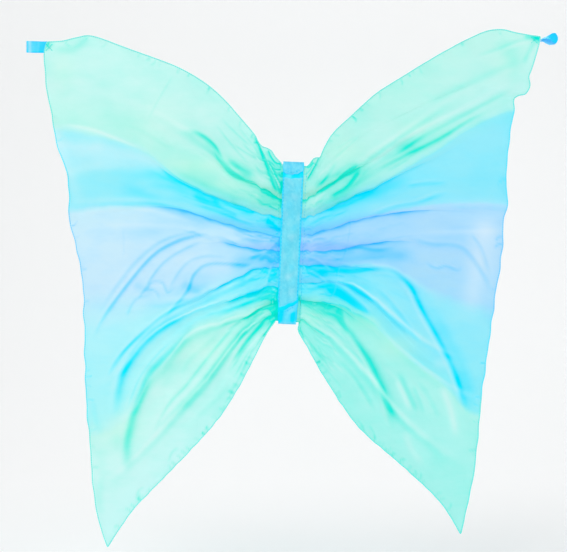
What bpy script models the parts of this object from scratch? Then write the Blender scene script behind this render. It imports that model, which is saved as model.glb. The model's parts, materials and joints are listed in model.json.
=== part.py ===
# Costume fairy wings of dyed silk, standing upright as worn.
#
# The decorated face looks along -Y and the wearer stands on the +Y side. +Z is up and +X is to the
# right of somebody who looks at the decorated face. The origin is the centre of the back face of the
# sewn centre band. The band leans a little, so everything sewn on it is laid out in band coordinates
# (across, depth, along) and tilted by BAND_LEAN.
#
# Layers of the band, from the wearer outwards: elastic ends, back ribbon, pleated silk headings,
# front ribbon, and the folded ends of the back ribbon, which come round over the front as flaps.
# All sizes are in mm, and the points are scaled to metres as they are placed.

import math

import bmesh
import bpy
import numpy as np
from mathutils import Matrix, Vector

MM = 0.001
SIDES = ((-1, "left"), (1, "right"))

# Shared by all sewn pieces
CLEAR = 0.3  # gap between pieces that lie on each other
THREAD = 0.25  # radius of sewing thread
STITCH_RISE = 0.15  # a sewn line lifts this far between stitches

# Centre band
BAND_WIDTH = 25.0
BAND_LENGTH = 195.0
BAND_LEAN = math.radians(2.4)
RIBBON = 0.5  # thickness of the satin ribbon
BAND_HALF = (BAND_LENGTH - RIBBON) / 2  # to the middle of the ribbon's thickness
TOP_FLAP = 14.0
BOTTOM_FLAP = 26.0
BACK_Y = -RIBBON / 2
HEADING_Y = -1.55
FRONT_Y = -2.85
FLAP_Y = -3.65
FOLD_RADIUS = (BACK_Y - FLAP_Y) / 2  # of the back ribbon where it goes round the ends
FOLD_Y = (BACK_Y + FLAP_Y) / 2
FOLD_ALONG = BAND_HALF - FOLD_RADIUS  # centre of the fold, from the middle of the band
FRONT_HALF = FOLD_ALONG - 2
PRESSED = 0.1  # the back ribbon is drawn in this far by the seams and under the elastic ends
BACK_FLAT = 42.0  # half of the plain middle of the back face, where no elastic is sewn on
BACK_ACROSS = [-BAND_WIDTH / 2, -10.2, -9.6, -3, 3, 9.6, 10.2, BAND_WIDTH / 2]
SEAM_X = 11.0  # topstitching, from the middle of the band
FRONT_SEAM_GAP = 2.0  # between the front topstitching and the flaps
BACK_SEAM_INSET = 6.0
FLAP_SEAM_HALF = 9.5
FLAP_SEAM_INSET = 3.0  # from the cut edge of the flap

# Pleated headings of the wings
PLEATS = 7
HEADING_HALF = 92.0
HEADING_INNER = 5.8  # inner edge, from the middle of the band
HEADING_WIDTH = 6.5
HEADING_SWING = 0.45  # each pleat of the heading moves this far either side of its middle
PLEAT_SLOPE = 0.86  # share of a pleat that slopes forward before it turns back

# Wings
SILK = 0.8  # stands for the silk with its folds
HINGE_X = 13.2
ROOT_X = 13.7
ROOT_HALF = 94.0
STITCH_REACH = 3.2  # pleat stitching, from the hinge
STITCH_HALF = 90.0
FLAT_REACH = 4.5  # the silk stays flat this far from the hinge
GROW_LENGTH = 70.0  # and reaches its full depth over this distance
STILL_RADIUS = 50.0  # about the upper outer corner, where the waves die away
WAVE = 4.5
BILLOW = 6.0
SILK_STEPS = (20, 44)  # cells across and down each wing
CROWD = 1.25  # above 1, the cells crowd towards the band
EDGE_POINTS = 200  # points on each smoothed edge
HEM_RADIUS = 0.75
HEM_OUT = 1.75
HEM_START = 4.0
SHARP_TURN = 0.3  # radians; the hem is rounded where its edge turns by more
CORNER_POINTS = 5

# Outlines of the silk from the origin, as (across, up). The top starts at the band, the outer edge
# at the upper corner and the bottom at the tip. The two wings differ a little, as sewn silk does.
OUTLINES = {
    "left": {
        "top": [(-18, 103), (-32, 116), (-44, 133), (-62, 152), (-80, 172), (-102, 191),
                (-132, 209), (-168, 223), (-204, 236), (-239, 248), (-257, 247), (-275, 242),
                (-293, 241)],
        "outer": [(-295, 228), (-293, 178), (-285, 150), (-270, 90), (-266, 68), (-266, 35),
                  (-256, -8), (-249, -54), (-248, -98), (-245, -191), (-240, -248),
                  (-235, -300), (-226, -344)],
        "tip": (-220, -365),
        "bottom": [(-208, -347), (-188, -318), (-160, -289), (-123, -251), (-88, -212),
                   (-63, -174), (-44, -140), (-29, -111)],
    },
    "right": {
        "top": [(25, 101), (36, 112), (50, 133), (72, 154), (102, 181), (132, 200), (168, 222),
                (204, 241), (232, 253), (252, 257), (268, 254), (284, 251), (300, 250)],
        "outer": [(298, 237), (288, 208), (286, 190), (276, 176), (266, 166), (266, 150),
                  (260, 114), (257, 79), (258, 48), (254, 22), (253, -8), (245, -60),
                  (238, -107), (228, -181), (222, -248), (215, -296)],
        "tip": (203, -349),
        "bottom": [(187, -322), (169, -300), (130, -264), (87, -227), (65, -200), (48, -174),
                   (32, -148), (22, -124), (15, -106)],
    },
}

# Shoulder elastics
ELASTIC = 1.0
ELASTIC_WIDTH = 6.0
ELASTIC_X = 6.5
ELASTIC_Y = 2.6  # depth of the line that the loop swings about
ELASTIC_PLANE = math.radians(66)  # between the loop and the band, at rest
ELASTIC_STEPS = 60
# Upper half of the loop: (distance out from the swing line, height along the band)
ELASTIC_HALF = [(0.6, 69.3), (1.6, 78), (9, 87), (23, 88), (40, 77), (54, 50), (60, 18)]
ANCHOR_FROM, ANCHOR_TO = 48.0, 68.0  # ends sewn on the band, from its middle
TACK_FROM, TACK_TO = 54.0, 61.0
TACK_WIDTH = 4.8
TACK_STITCHES = 8

# Finger loops
LOOP_RIBBON = 0.5
LOOP_WIDTH = 14.0
LOOP_HALF_GAP = 0.85
LOOP_LENGTH = 16.0
LOOP_START = 0.8  # from the line that the loop swings about
LOOP_Y = -0.25
TWIST_FROM, TWIST_TO = 3.0, LOOP_LENGTH - 2
TAIL_START = 1.2
TAIL_LENGTH = 20.0
CROSS_SIZE = 9.0
CROSS_BAR = 1.0
CROSS_DEPTH = 0.5
# By wing: (x, z) of the swing line, twist of the loop, (x, z) of the cross stitch
FINGER_LOOPS = {
    "left": ((-300.0, 235.0), 0.0, (-289.0, 234.6)),
    "right": ((304.5, 245.0), math.radians(55), (292.5, 243.5)),
}


# ---------------------------------------------------------------- helpers
def band_point(across, depth, along):
    """Band coordinates in mm to world metres."""
    cos, sin = math.cos(BAND_LEAN), math.sin(BAND_LEAN)
    return Vector((across * cos + along * sin, depth, along * cos - across * sin)) * MM


def clamp(value):
    return min(max(value, 0), 1)


def ease(value):
    """A smooth rise from 0 to 1 as the value goes from 0 to 1."""
    value = clamp(value)
    return value * value * (3 - 2 * value)


def pick(items, share):
    """The item at this share of the way through a list, for grids with one row to an item."""
    return items[round(share * (len(items) - 1))]


def spline(points, count):
    """Points evenly spaced on a smooth curve through the control points."""
    knots = np.array(points, float)
    knots = np.vstack([2 * knots[0] - knots[1], knots, 2 * knots[-1] - knots[-2]])
    fine = []
    for before, start, end, after in zip(knots[:-3], knots[1:-2], knots[2:-1], knots[3:],
                                         strict=True):
        for k in np.linspace(0, 1, 16, endpoint=False):
            fine.append(0.5 * (2 * start + (end - before) * k
                               + (2 * before - 5 * start + 4 * end - after) * k**2
                               + (3 * start - before - 3 * end + after) * k**3))
    fine = np.array([*fine, knots[-2]])
    lengths = np.linalg.norm(np.diff(fine, axis=0), axis=1)
    run = np.concatenate([[0], np.cumsum(lengths)])
    stops = np.linspace(0, run[-1], count)
    return np.column_stack([np.interp(stops, run, column) for column in fine.T])


def material(name, colour, roughness, sheen=0.0):
    made = bpy.data.materials.new(name)
    made.use_nodes = True
    shader = made.node_tree.nodes["Principled BSDF"]
    shader.inputs["Base Color"].default_value = (*colour, 1)
    shader.inputs["Roughness"].default_value = roughness
    shader.inputs["Sheen Weight"].default_value = sheen
    return made


def add_object(name, data, look, pivot):
    """Links an object; one with a pivot takes the pivot as its parent and origin."""
    obj = bpy.data.objects.new(name, data)
    data.materials.append(look)
    wings.objects.link(obj)
    if pivot is not None:
        data.transform(Matrix.Translation(-pivot.location))
        obj.parent = pivot
    return obj


def add_mesh(name, shape, look, pivot):
    bmesh.ops.recalc_face_normals(shape, faces=shape.faces)
    mesh = bpy.data.meshes.new(name)
    shape.to_mesh(mesh)
    shape.free()
    return add_object(name, mesh, look, pivot)


def axis_empty(name, place):
    """The empty that the pieces on one joint hang from, on the joint's axis."""
    empty = bpy.data.objects.new(name, None)
    empty.location = place
    empty.empty_display_size = 0.01
    wings.objects.link(empty)
    return empty


def sheet(name, steps, place, thickness, look, pivot=None):
    """A cloth: a grid laid out by place(u, v), given its thickness by Solidify."""
    grid = bmesh.new()
    bmesh.ops.create_grid(grid, x_segments=steps[0], y_segments=steps[1], size=0.5)
    for vert in grid.verts:
        vert.co = place(clamp(vert.co.x + 0.5), clamp(vert.co.y + 0.5))
    for face in grid.faces:
        face.smooth = True
    cloth = add_mesh(name, grid, look, pivot)
    solidify = cloth.modifiers.new("Thickness", "SOLIDIFY")
    solidify.thickness = thickness * MM
    solidify.offset = 0


def thread(name, points, look, pivot=None, radius=THREAD):
    """A round thread or rolled hem through world points."""
    curve = bpy.data.curves.new(name, "CURVE")
    curve.dimensions = "3D"
    curve.bevel_depth = radius * MM
    curve.bevel_resolution = 1
    curve.use_fill_caps = True
    line = curve.splines.new("POLY")
    line.points.add(len(points) - 1)
    for node, point in zip(line.points, points, strict=True):
        node.co = (*point, 1)
    line.use_smooth = True
    add_object(name, curve, look, pivot)


def seam(name, start, end, count, rise=-STITCH_RISE, pivot=None):
    """A hand-sewn line between two points in band coordinates, rising between stitches."""
    points = []
    for k in range(count + 1):
        across, depth, along = Vector(start).lerp(Vector(end), k / count)
        points.append(band_point(across, depth + rise * (k % 2), along))
    thread(name, points, sewing, pivot)


def seam_depth(layer_y, thickness):
    """Depth of a thread that lies on the front of a layer."""
    return layer_y - thickness / 2 - CLEAR - THREAD


# ---------------------------------------------------------------- centre band
def folded_end(sign):
    """(depth, along) of the ribbon going round one end of the band, from back to front."""
    angles = [k * math.pi / 6 for k in range(7)]
    return [(FOLD_Y + FOLD_RADIUS * math.cos(angle),
             sign * (FOLD_ALONG + FOLD_RADIUS * math.sin(angle))) for angle in angles]


def back_ribbon():
    """The back ribbon in one strip, from the bottom flap up the back to the top flap."""
    upper = [(BACK_Y, BACK_FLAT / 3), (BACK_Y, BACK_FLAT), (BACK_Y, BACK_FLAT + 1),
             (BACK_Y - PRESSED, ANCHOR_FROM - 2), (BACK_Y - PRESSED, ANCHOR_TO + 2),
             (BACK_Y, FOLD_ALONG - 14)]
    lower = [(depth, -along) for depth, along in upper[::-1]]
    path = [(FLAP_Y, -BAND_HALF + BOTTOM_FLAP), *folded_end(-1)[::-1], *lower, *upper,
            *folded_end(1), (FLAP_Y, BAND_HALF - TOP_FLAP)]

    def place(u, v):
        depth, along = pick(path, u)
        across = pick(BACK_ACROSS, v)
        on_back = depth > HEADING_Y and abs(along) < FOLD_ALONG
        if on_back and abs(across) > SEAM_X:
            depth -= PRESSED
        return band_point(across, depth, along)

    sheet("band_back_ribbon", (len(path) - 1, len(BACK_ACROSS) - 1), place, RIBBON, satin_back)


def front_ribbon():
    def place(u, v):
        return band_point((v - 0.5) * BAND_WIDTH, FRONT_Y, (2 * u - 1) * FRONT_HALF)

    sheet("band_front_ribbon", (12, 2), place, RIBBON, satin_front)


def pleat_heading(side, name):
    """The zigzag of silk between the two ribbons."""
    pitch = 2 * HEADING_HALF / PLEATS
    path = []
    for k in range(PLEATS):
        low = -HEADING_HALF + pitch * k
        path += [(low, HEADING_Y + HEADING_SWING),
                 (low + PLEAT_SLOPE * pitch, HEADING_Y - HEADING_SWING)]
    path.append((HEADING_HALF, HEADING_Y + HEADING_SWING))

    def place(u, v):
        along, depth = pick(path, u)
        return band_point(side * (HEADING_INNER + HEADING_WIDTH * v), depth, along)

    sheet(name + "_pleat_heading", (len(path) - 1, 2), place, RIBBON, heading_look)


def topstitching(side, name):
    """The long seams on the front and the back, along one edge of the band."""
    across = side * SEAM_X
    front_y = seam_depth(FRONT_Y, RIBBON)
    seam(name + "_front_topstitch",
         (across, front_y, -BAND_HALF + BOTTOM_FLAP + FRONT_SEAM_GAP),
         (across, front_y, BAND_HALF - TOP_FLAP - FRONT_SEAM_GAP), 42)
    back_y = CLEAR + THREAD
    back_half = BAND_HALF - BACK_SEAM_INSET
    seam(name + "_back_topstitch", (across, back_y, -back_half), (across, back_y, back_half), 48,
         rise=STITCH_RISE)


def flap_stitch(sign, name, flap):
    depth = seam_depth(FLAP_Y, RIBBON)
    along = sign * (BAND_HALF - flap + FLAP_SEAM_INSET)
    seam(name + "_flap_stitch", (-FLAP_SEAM_HALF, depth, along), (FLAP_SEAM_HALF, depth, along), 10)


# ---------------------------------------------------------------- wings
def wing_surface(side, outline):
    """A function from (out, down) to the silk, both 0 to 1: from the band to the outer edge, and
    from the top to the bottom."""
    root_high, root_low = (tuple(band_point(side * ROOT_X, 0, along).xz / MM)
                           for along in (ROOT_HALF, -ROOT_HALF))
    corner, tip = outline["top"][-1], outline["tip"]
    edges = {
        "top": spline([root_high, *outline["top"]], EDGE_POINTS),
        "outer": spline([corner, *outline["outer"], tip], EDGE_POINTS),
        "bottom": spline([root_low, *outline["bottom"][::-1], tip], EDGE_POINTS),
        "root": spline([root_high, root_low], EDGE_POINTS),
    }

    def on_edge(name, share):
        last = EDGE_POINTS - 1
        return np.array([np.interp(share * last, np.arange(EDGE_POINTS), column)
                         for column in edges[name].T])

    def flat(out, down):
        """The (x, z) between the four edges: the two blends, less the corners counted twice."""
        blend = ((1 - down) * on_edge("top", out) + down * on_edge("bottom", out)
                 + (1 - out) * on_edge("root", down) + out * on_edge("outer", down))
        corners = ((1 - down) * ((1 - out) * on_edge("top", 0) + out * on_edge("top", 1))
                   + down * ((1 - out) * on_edge("bottom", 0) + out * on_edge("bottom", 1)))
        return blend - corners

    def place(out, down):
        x, z = flat(out, down)
        reach = side * (x * math.cos(BAND_LEAN) - z * math.sin(BAND_LEAN)) - HINGE_X
        grow = ease((reach - FLAT_REACH) / GROW_LENGTH)
        from_corner = math.hypot(x - corner[0], z - corner[1])
        loose = 1 - math.exp(-(from_corner / STILL_RADIUS) ** 2)
        wave = WAVE * math.sin(2 * math.pi * PLEATS * down) * (1 - 0.5 * out)
        billow = BILLOW * math.sin(math.pi * out) * math.sin(math.pi * down)
        return Vector((x, HEADING_Y - grow * loose * (wave + billow), z)) * MM

    return place


def hem_path(place, side):
    """World points just outside the silk, along its top, its outer edge and its bottom."""
    across = [(k / SILK_STEPS[0]) ** CROWD for k in range(SILK_STEPS[0] + 1)]
    down = [k / SILK_STEPS[1] for k in range(SILK_STEPS[1] + 1)]
    rim = ([place(k, 0) for k in across] + [place(1, k) for k in down[1:]]
           + [place(k, 1) for k in across[-2::-1]])
    steps = [end - start for start, end in zip(rim[:-1], rim[1:], strict=True)]
    outward = [Vector((step.z, 0, -step.x)).normalized() * -side for step in steps]
    path = []
    for here, before, after in zip(rim, [outward[0], *outward], [*outward, outward[-1]],
                                   strict=True):
        if before.angle(after) < SHARP_TURN:
            shares = [0.5]
        else:
            shares = [k / (CORNER_POINTS - 1) for k in range(CORNER_POINTS)]
        for share in shares:
            path.append(here + before.lerp(after, share).normalized() * HEM_OUT * MM)
    # The hem starts clear of the band, and as many points are left off at its far end.
    skipped = sum((point - path[0]).length < HEM_START * MM for point in path)
    return path[skipped:-skipped]


def wing(side, name):
    """One wing with its hem and pleat stitching; returns the empty that they fold about."""
    pivot = axis_empty(name + "_wing_fold_axis", band_point(side * HINGE_X, HEADING_Y, 0))
    place = wing_surface(side, OUTLINES[name])
    sheet(name + "_wing_silk", SILK_STEPS, lambda u, v: place(u**CROWD, v), SILK, silk_look, pivot)
    thread(name + "_rolled_hem", hem_path(place, side), hem_look, pivot, radius=HEM_RADIUS)
    across = side * (HINGE_X + STITCH_REACH)
    depth = seam_depth(HEADING_Y, SILK)
    seam(name + "_pleat_stitch", (across, depth, -STITCH_HALF), (across, depth, STITCH_HALF), 44,
         pivot=pivot)
    return pivot


# ---------------------------------------------------------------- shoulder elastics
def shoulder_elastic(side, name):
    """The free loop of elastic, which swings about a line behind the band."""
    pivot = axis_empty(name + "_shoulder_axis", band_point(side * ELASTIC_X, ELASTIC_Y, 0))
    lower = [(out, -along) for out, along in ELASTIC_HALF[::-1]]
    line = spline(ELASTIC_HALF + lower, ELASTIC_STEPS + 1)
    cos, sin = math.cos(ELASTIC_PLANE), math.sin(ELASTIC_PLANE)

    def place(u, v):
        out, along = pick(line, u)
        width = (v - 0.5) * ELASTIC_WIDTH
        return band_point(side * (ELASTIC_X + out * cos - width * sin),
                          ELASTIC_Y + out * sin + width * cos, along)

    sheet(name + "_shoulder_elastic", (ELASTIC_STEPS, 2), place, ELASTIC, elastic_look, pivot)


def elastic_end(side, name, sign, where):
    """An end of the elastic, flat on the back of the band, with its zigzag tack."""
    def place(u, v):
        return band_point(side * ELASTIC_X + (v - 0.5) * ELASTIC_WIDTH, CLEAR + ELASTIC / 2,
                          sign * (ANCHOR_FROM + (ANCHOR_TO - ANCHOR_FROM) * u))

    sheet(f"{name}_elastic_end_{where}", (4, 2), place, ELASTIC, elastic_look)
    zigzag = [band_point(side * ELASTIC_X + TACK_WIDTH * (k / TACK_STITCHES - 0.5),
                         CLEAR + ELASTIC + CLEAR + THREAD,
                         sign * (TACK_FROM if k % 2 else TACK_TO))
              for k in range(TACK_STITCHES + 1)]
    thread(f"{name}_elastic_tack_{where}", zigzag, sewing)


# ---------------------------------------------------------------- finger loops
def loop_ring():
    """(distance out, height off the middle) round the loop, from one ribbon end to the other."""
    straight = LOOP_LENGTH - LOOP_START - LOOP_HALF_GAP
    runs = [LOOP_START + straight * k / 5 for k in range(6)]
    angles = [k * math.pi / 6 for k in range(1, 6)]
    return ([(out, -LOOP_HALF_GAP) for out in runs]
            + [(runs[-1] + LOOP_HALF_GAP * math.sin(angle), -LOOP_HALF_GAP * math.cos(angle))
               for angle in angles]
            + [(out, LOOP_HALF_GAP) for out in runs[::-1]])


def finger_loop(side, name, spot, twist):
    pivot = axis_empty(name + "_finger_loop_axis", Vector((spot[0], LOOP_Y, spot[1])) * MM)
    ring = loop_ring()

    def place(u, v):
        out, height = pick(ring, u)
        width = (v - 0.5) * LOOP_WIDTH
        angle = twist * ease((out - TWIST_FROM) / (TWIST_TO - TWIST_FROM))
        cos, sin = math.cos(angle), math.sin(angle)
        return Vector((spot[0] + side * out, LOOP_Y + height * cos - width * sin,
                       spot[1] + width * cos + height * sin)) * MM

    sheet(name + "_finger_loop", (len(ring) - 1, 4), place, LOOP_RIBBON, loop_look, pivot)


def loop_tail(side, name, spot, holder):
    """The flat end of the loop's ribbon, behind the silk."""
    def place(u, v):
        inward = TAIL_START + (TAIL_LENGTH - TAIL_START) * u
        return Vector((spot[0] - side * inward, LOOP_Y,
                       spot[1] + (v - 0.5) * LOOP_WIDTH)) * MM

    sheet(name + "_finger_loop_tail", (4, 2), place, LOOP_RIBBON, loop_look, holder)


def cross_stitch(name, x, z, holder):
    """Two crossed bars of thread on the front of the silk, as one flat cross."""
    shape = bmesh.new()
    bmesh.ops.create_cube(shape, size=1,
                          matrix=Matrix.Diagonal((CROSS_BAR, CROSS_DEPTH, CROSS_BAR, 1)))
    for out in (Vector((1, 0, 0)), Vector((0, 0, 1)), Vector((-1, 0, 0)), Vector((0, 0, -1))):
        # The small bonus picks the face of the middle block over the sides of the arms.
        face = max(shape.faces, key=lambda f, out=out: f.normal.dot(out)
                   + 0.01 * (f.calc_center_median().length < CROSS_BAR))
        grown = bmesh.ops.extrude_discrete_faces(shape, faces=[face])["faces"]
        bmesh.ops.translate(shape, verts=grown[0].verts, vec=out * (CROSS_SIZE - CROSS_BAR) / 2)
    y = HEADING_Y - SILK / 2 - CLEAR - CROSS_DEPTH / 2
    bmesh.ops.transform(shape, verts=shape.verts,
                        matrix=Matrix.Translation(Vector((x, y, z)) * MM)
                        @ Matrix.Rotation(math.pi / 4, 4, "Y") @ Matrix.Scale(MM, 4))
    add_mesh(name + "_loop_cross_stitch", shape, sewing, holder)


# ---------------------------------------------------------------- build
for old in list(bpy.data.objects):
    bpy.data.objects.remove(old)

wings = bpy.data.collections.new("fairy_wings")
bpy.context.scene.collection.children.link(wings)

SILK_MINT = (0.50, 0.90, 0.84)
satin_front = material("satin_ribbon_front", colour=(0.19, 0.76, 0.93), roughness=0.35, sheen=0.4)
satin_back = material("satin_ribbon_back", colour=(0.12, 0.66, 0.88), roughness=0.4, sheen=0.4)
sewing = material("sewing_thread", colour=(0.10, 0.70, 0.86), roughness=0.55)
heading_look = material("silk_pleats", colour=SILK_MINT, roughness=0.5, sheen=0.5)
silk_look = material("dyed_silk", colour=SILK_MINT, roughness=0.5, sheen=0.6)
hem_look = material("rolled_hem", colour=(0.22, 0.78, 0.80), roughness=0.55, sheen=0.3)
elastic_look = material("knit_elastic", colour=(0.85, 0.88, 0.88), roughness=0.8)
loop_look = material("loop_ribbon", colour=(0.14, 0.62, 0.93), roughness=0.35, sheen=0.4)

back_ribbon()
front_ribbon()
flap_stitch(1, "top", TOP_FLAP)
flap_stitch(-1, "bottom", BOTTOM_FLAP)
for side, name in SIDES:
    pleat_heading(side, name)
    topstitching(side, name)
    fold_axis = wing(side, name)
    shoulder_elastic(side, name)
    elastic_end(side, name, 1, "top")
    elastic_end(side, name, -1, "bottom")
    spot, twist, mark = FINGER_LOOPS[name]
    finger_loop(side, name, spot, twist)
    loop_tail(side, name, spot, fold_axis)
    cross_stitch(name, *mark, fold_axis)
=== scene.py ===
"""A pair of dyed silk wings, pleated into a satin band that leans in the x-z plane.

Seen from the front (-y), the left wing lies towards -x and the right wing towards +x, with +z up.
The band has an elastic loop for each shoulder behind it, and each wing has a ribbon finger loop
at its outer top corner. Shapes are worked out in mm and turned into metres for the meshes.
"""
import json
import math
from types import SimpleNamespace

import bpy
import numpy as np
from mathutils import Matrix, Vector


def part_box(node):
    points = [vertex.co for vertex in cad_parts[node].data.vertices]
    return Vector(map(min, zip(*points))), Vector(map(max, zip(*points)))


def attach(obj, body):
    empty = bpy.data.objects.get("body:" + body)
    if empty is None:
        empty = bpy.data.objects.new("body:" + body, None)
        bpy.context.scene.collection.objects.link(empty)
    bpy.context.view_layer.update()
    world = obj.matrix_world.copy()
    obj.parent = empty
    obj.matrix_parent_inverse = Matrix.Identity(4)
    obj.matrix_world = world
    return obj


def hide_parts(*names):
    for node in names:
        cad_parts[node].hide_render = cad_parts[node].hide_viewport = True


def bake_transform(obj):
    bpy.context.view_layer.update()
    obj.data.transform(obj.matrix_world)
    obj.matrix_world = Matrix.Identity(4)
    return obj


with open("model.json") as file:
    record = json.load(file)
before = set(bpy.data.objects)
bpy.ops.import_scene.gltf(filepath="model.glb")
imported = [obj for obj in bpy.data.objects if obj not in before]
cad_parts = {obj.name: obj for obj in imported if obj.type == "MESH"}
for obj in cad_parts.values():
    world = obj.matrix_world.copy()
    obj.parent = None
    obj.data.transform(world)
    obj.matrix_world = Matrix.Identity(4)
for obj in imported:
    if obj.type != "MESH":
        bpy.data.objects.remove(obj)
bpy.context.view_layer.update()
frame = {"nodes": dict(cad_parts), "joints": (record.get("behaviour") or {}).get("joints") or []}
MM = 0.001

# ---------------------------------------------------------------- places from the record and CAD
joints = {joint["name"]: joint for joint in frame["joints"]}
band_axis = Vector(joints["left_wing_fold"]["axis"])
LEAN = math.atan2(band_axis.x, band_axis.z)
COS_LEAN, SIN_LEAN = math.cos(LEAN), math.sin(LEAN)


def span(node):
    """The low and high corners of a CAD piece, in mm."""
    low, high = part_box(node)
    return np.array(low) / MM, np.array(high) / MM


def joint_place(name):
    return np.array(joints[name]["pos_m"]) / MM


def across_band(x, z):
    return x * COS_LEAN - z * SIN_LEAN


def along_band(x, z):
    return x * SIN_LEAN + z * COS_LEAN


def lean(across, depth, along):
    """Band coordinates in mm to metres, for numbers or arrays."""
    across, depth, along = np.broadcast_arrays(np.asarray(across, float), depth, along)
    x = across * COS_LEAN + along * SIN_LEAN
    z = along * COS_LEAN - across * SIN_LEAN
    return np.stack([x, depth, z], -1) * MM


front_low, front_high = span("band_front_ribbon")
back_low, back_high = span("band_back_ribbon")
BAND_HALF = (back_high[2] - back_low[2]) / 2 - 0.5  # half the band's length
HALF_WIDE = 12.5  # half the band's width
FRONT_Y = (front_low[1] + front_high[1]) / 2
FLAP_Y = back_low[1] + 0.25
BACK_Y = back_high[1] - 0.25
SEAM = 11.0  # the band's side seams, out from its middle
hinge = joint_place("left_wing_fold")
HINGE_X, HINGE_Y = abs(across_band(hinge[0], hinge[2])), hinge[1]
shoulder = joint_place("left_shoulder_loop_swing")
ELASTIC_X, ELASTIC_Y = abs(across_band(shoulder[0], shoulder[2])), shoulder[1]
ROOT_HALF = 94.0  # half the length of silk held in the band
SIDES = ((-1, "left"), (1, "right"))


# ---------------------------------------------------------------- curves
def smooth(x, low, high):
    """0 below low, 1 above high, and an eased step between."""
    k = np.clip((np.asarray(x, float) - low) / (high - low), 0, 1)
    return k * k * (3 - 2 * k)


def bell(x, centre, width):
    return np.exp(-((x - centre) / width) ** 2)


def run_length(path):
    return np.concatenate([[0], np.cumsum(np.linalg.norm(np.diff(path, axis=0), axis=1))])


def at_run(path, run, wanted):
    return np.column_stack([np.interp(wanted, run, column) for column in path.T])


def tangents(path):
    way = np.gradient(path, axis=0)
    return way / np.maximum(np.linalg.norm(way, axis=1), 1e-12)[:, None]


def spline(points, count):
    """Evenly spaced points on a smooth curve through the given ones."""
    given = np.array(points, float)
    if len(given) == 2:
        return given[0] + (given[1] - given[0]) * np.linspace(0, 1, count)[:, None]
    given = np.vstack([2 * given[0] - given[1], given, 2 * given[-1] - given[-2]])
    k = np.linspace(0, 1, 16, endpoint=False)[:, None]
    fine = [0.5 * (2 * here + (after - before) * k
                   + (2 * before - 5 * here + 4 * after - later) * k**2
                   + (3 * here - before - 3 * after + later) * k**3)
            for before, here, after, later in zip(given[:-3], given[1:-2], given[2:-1], given[3:])]
    fine = np.vstack([*fine, given[-2][None]])
    run = run_length(fine)
    return at_run(fine, run, np.linspace(0, run[-1], count))


# ---------------------------------------------------------------- meshes
def shade_smooth(mesh):
    mesh.polygons.foreach_set("use_smooth", np.ones(len(mesh.polygons), bool))


def make(name, verts, faces, look, attributes=None):
    mesh = bpy.data.meshes.new(name)
    mesh.from_pydata(np.asarray(verts).tolist(), [], faces)
    for key, values in (attributes or {}).items():
        layer = mesh.attributes.new(key, "FLOAT", "POINT")
        layer.data.foreach_set("value", np.asarray(values, np.float32).ravel())
    shade_smooth(mesh)
    mesh.materials.append(look)
    obj = bpy.data.objects.new(name, mesh)
    bpy.context.scene.collection.objects.link(obj)
    return obj


def grid_faces(rows, cols, wrap=False):
    i = np.arange(rows - 1)[:, None]
    j = np.arange(cols if wrap else cols - 1)[None]
    here = i * cols + j
    beside = i * cols + (j + 1) % cols
    return np.stack([here, beside, beside + cols, here + cols], -1).reshape(-1, 4)


def grid(name, points, look, attributes=None, thick=0.0):
    """A sheet from a rows x cols array of points in metres; thick is in mm."""
    rows, cols = points.shape[:2]
    faces = grid_faces(rows, cols).tolist()
    obj = make(name, points.reshape(-1, 3), faces, look, attributes)
    if thick:
        solid = obj.modifiers.new("Thickness", "SOLIDIFY")
        solid.thickness = thick * MM
        solid.offset = 0
        graph = bpy.context.evaluated_depsgraph_get()
        mesh = bpy.data.meshes.new_from_object(obj.evaluated_get(graph))
        obj.modifiers.clear()
        obj.data = mesh
        shade_smooth(mesh)
    return obj


def tube_verts(path, across, up, radius, sides):
    """Rings round a path, then its first and last point."""
    angle = (np.arange(sides) * 2 * math.pi / sides)[None, :, None]
    ring = path[:, None] + (across[:, None] * np.cos(angle)
                            + up[:, None] * np.sin(angle)) * radius[:, None, None]
    return np.vstack([ring.reshape(-1, 3), path[:1], path[-1:]])


def tube_faces(rows, sides, first=0):
    """The wall of a tube, and a fan at each end."""
    end = first + rows * sides
    faces = (grid_faces(rows, sides, wrap=True) + first).tolist()
    faces += [[end, first + (j + 1) % sides, first + j] for j in range(sides)]
    faces += [[end + 1, end - sides + j, end - sides + (j + 1) % sides] for j in range(sides)]
    return faces


def stitches(name, path, normal, look, length, gap, radius, seed):
    """Sewn stitches along a path in metres; each dips into the cloth at both ends.

    length, gap and radius are in mm, and normal points out of the cloth."""
    jitter, dip, stray = 0.12, 0.25, 0.1
    sides, rows = 6, 7
    rng = np.random.default_rng(seed)
    run = run_length(path) / MM
    normal = np.asarray(normal, float)
    k = np.linspace(0, 1, rows)
    verts, faces = [], []
    start = 0.0
    while start + length < run[-1]:
        size = length * (1 + jitter * rng.uniform(-1, 1))
        here = at_run(path, run, start + k * size)
        way = here[-1] - here[0]
        way /= np.linalg.norm(way)
        across = np.cross(way, normal)
        across /= np.linalg.norm(across)
        here = here + normal * MM * (dip * np.sin(np.pi * k) - dip * 0.35)[:, None] \
            + across * MM * (stray * rng.uniform(-1, 1))
        thickness = radius * (0.55 + 0.45 * np.sin(np.pi * k) ** 0.5) * MM
        faces += tube_faces(rows, sides, first=len(verts))
        verts += tube_verts(here, across[None], normal[None], thickness, sides).tolist()
        start += size + gap * (1 + jitter * rng.uniform(-1, 1))
    return make(name, verts, faces, look)


def register(obj, slot, *replaced, ride=None, blend=None):
    if replaced:
        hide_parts(*replaced)
    if ride:
        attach(obj, ride)
    else:
        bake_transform(obj)


# ---------------------------------------------------------------- materials
BLACK, WHITE = (0, 0, 0, 1), (1, 1, 1, 1)


def linear(colour):
    """8-bit sRGB to linear RGBA."""
    return tuple(((v / 255 + 0.055) / 1.055) ** 2.4 if v > 10 else v / 255 / 12.92
                 for v in colour) + (1,)


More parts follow.
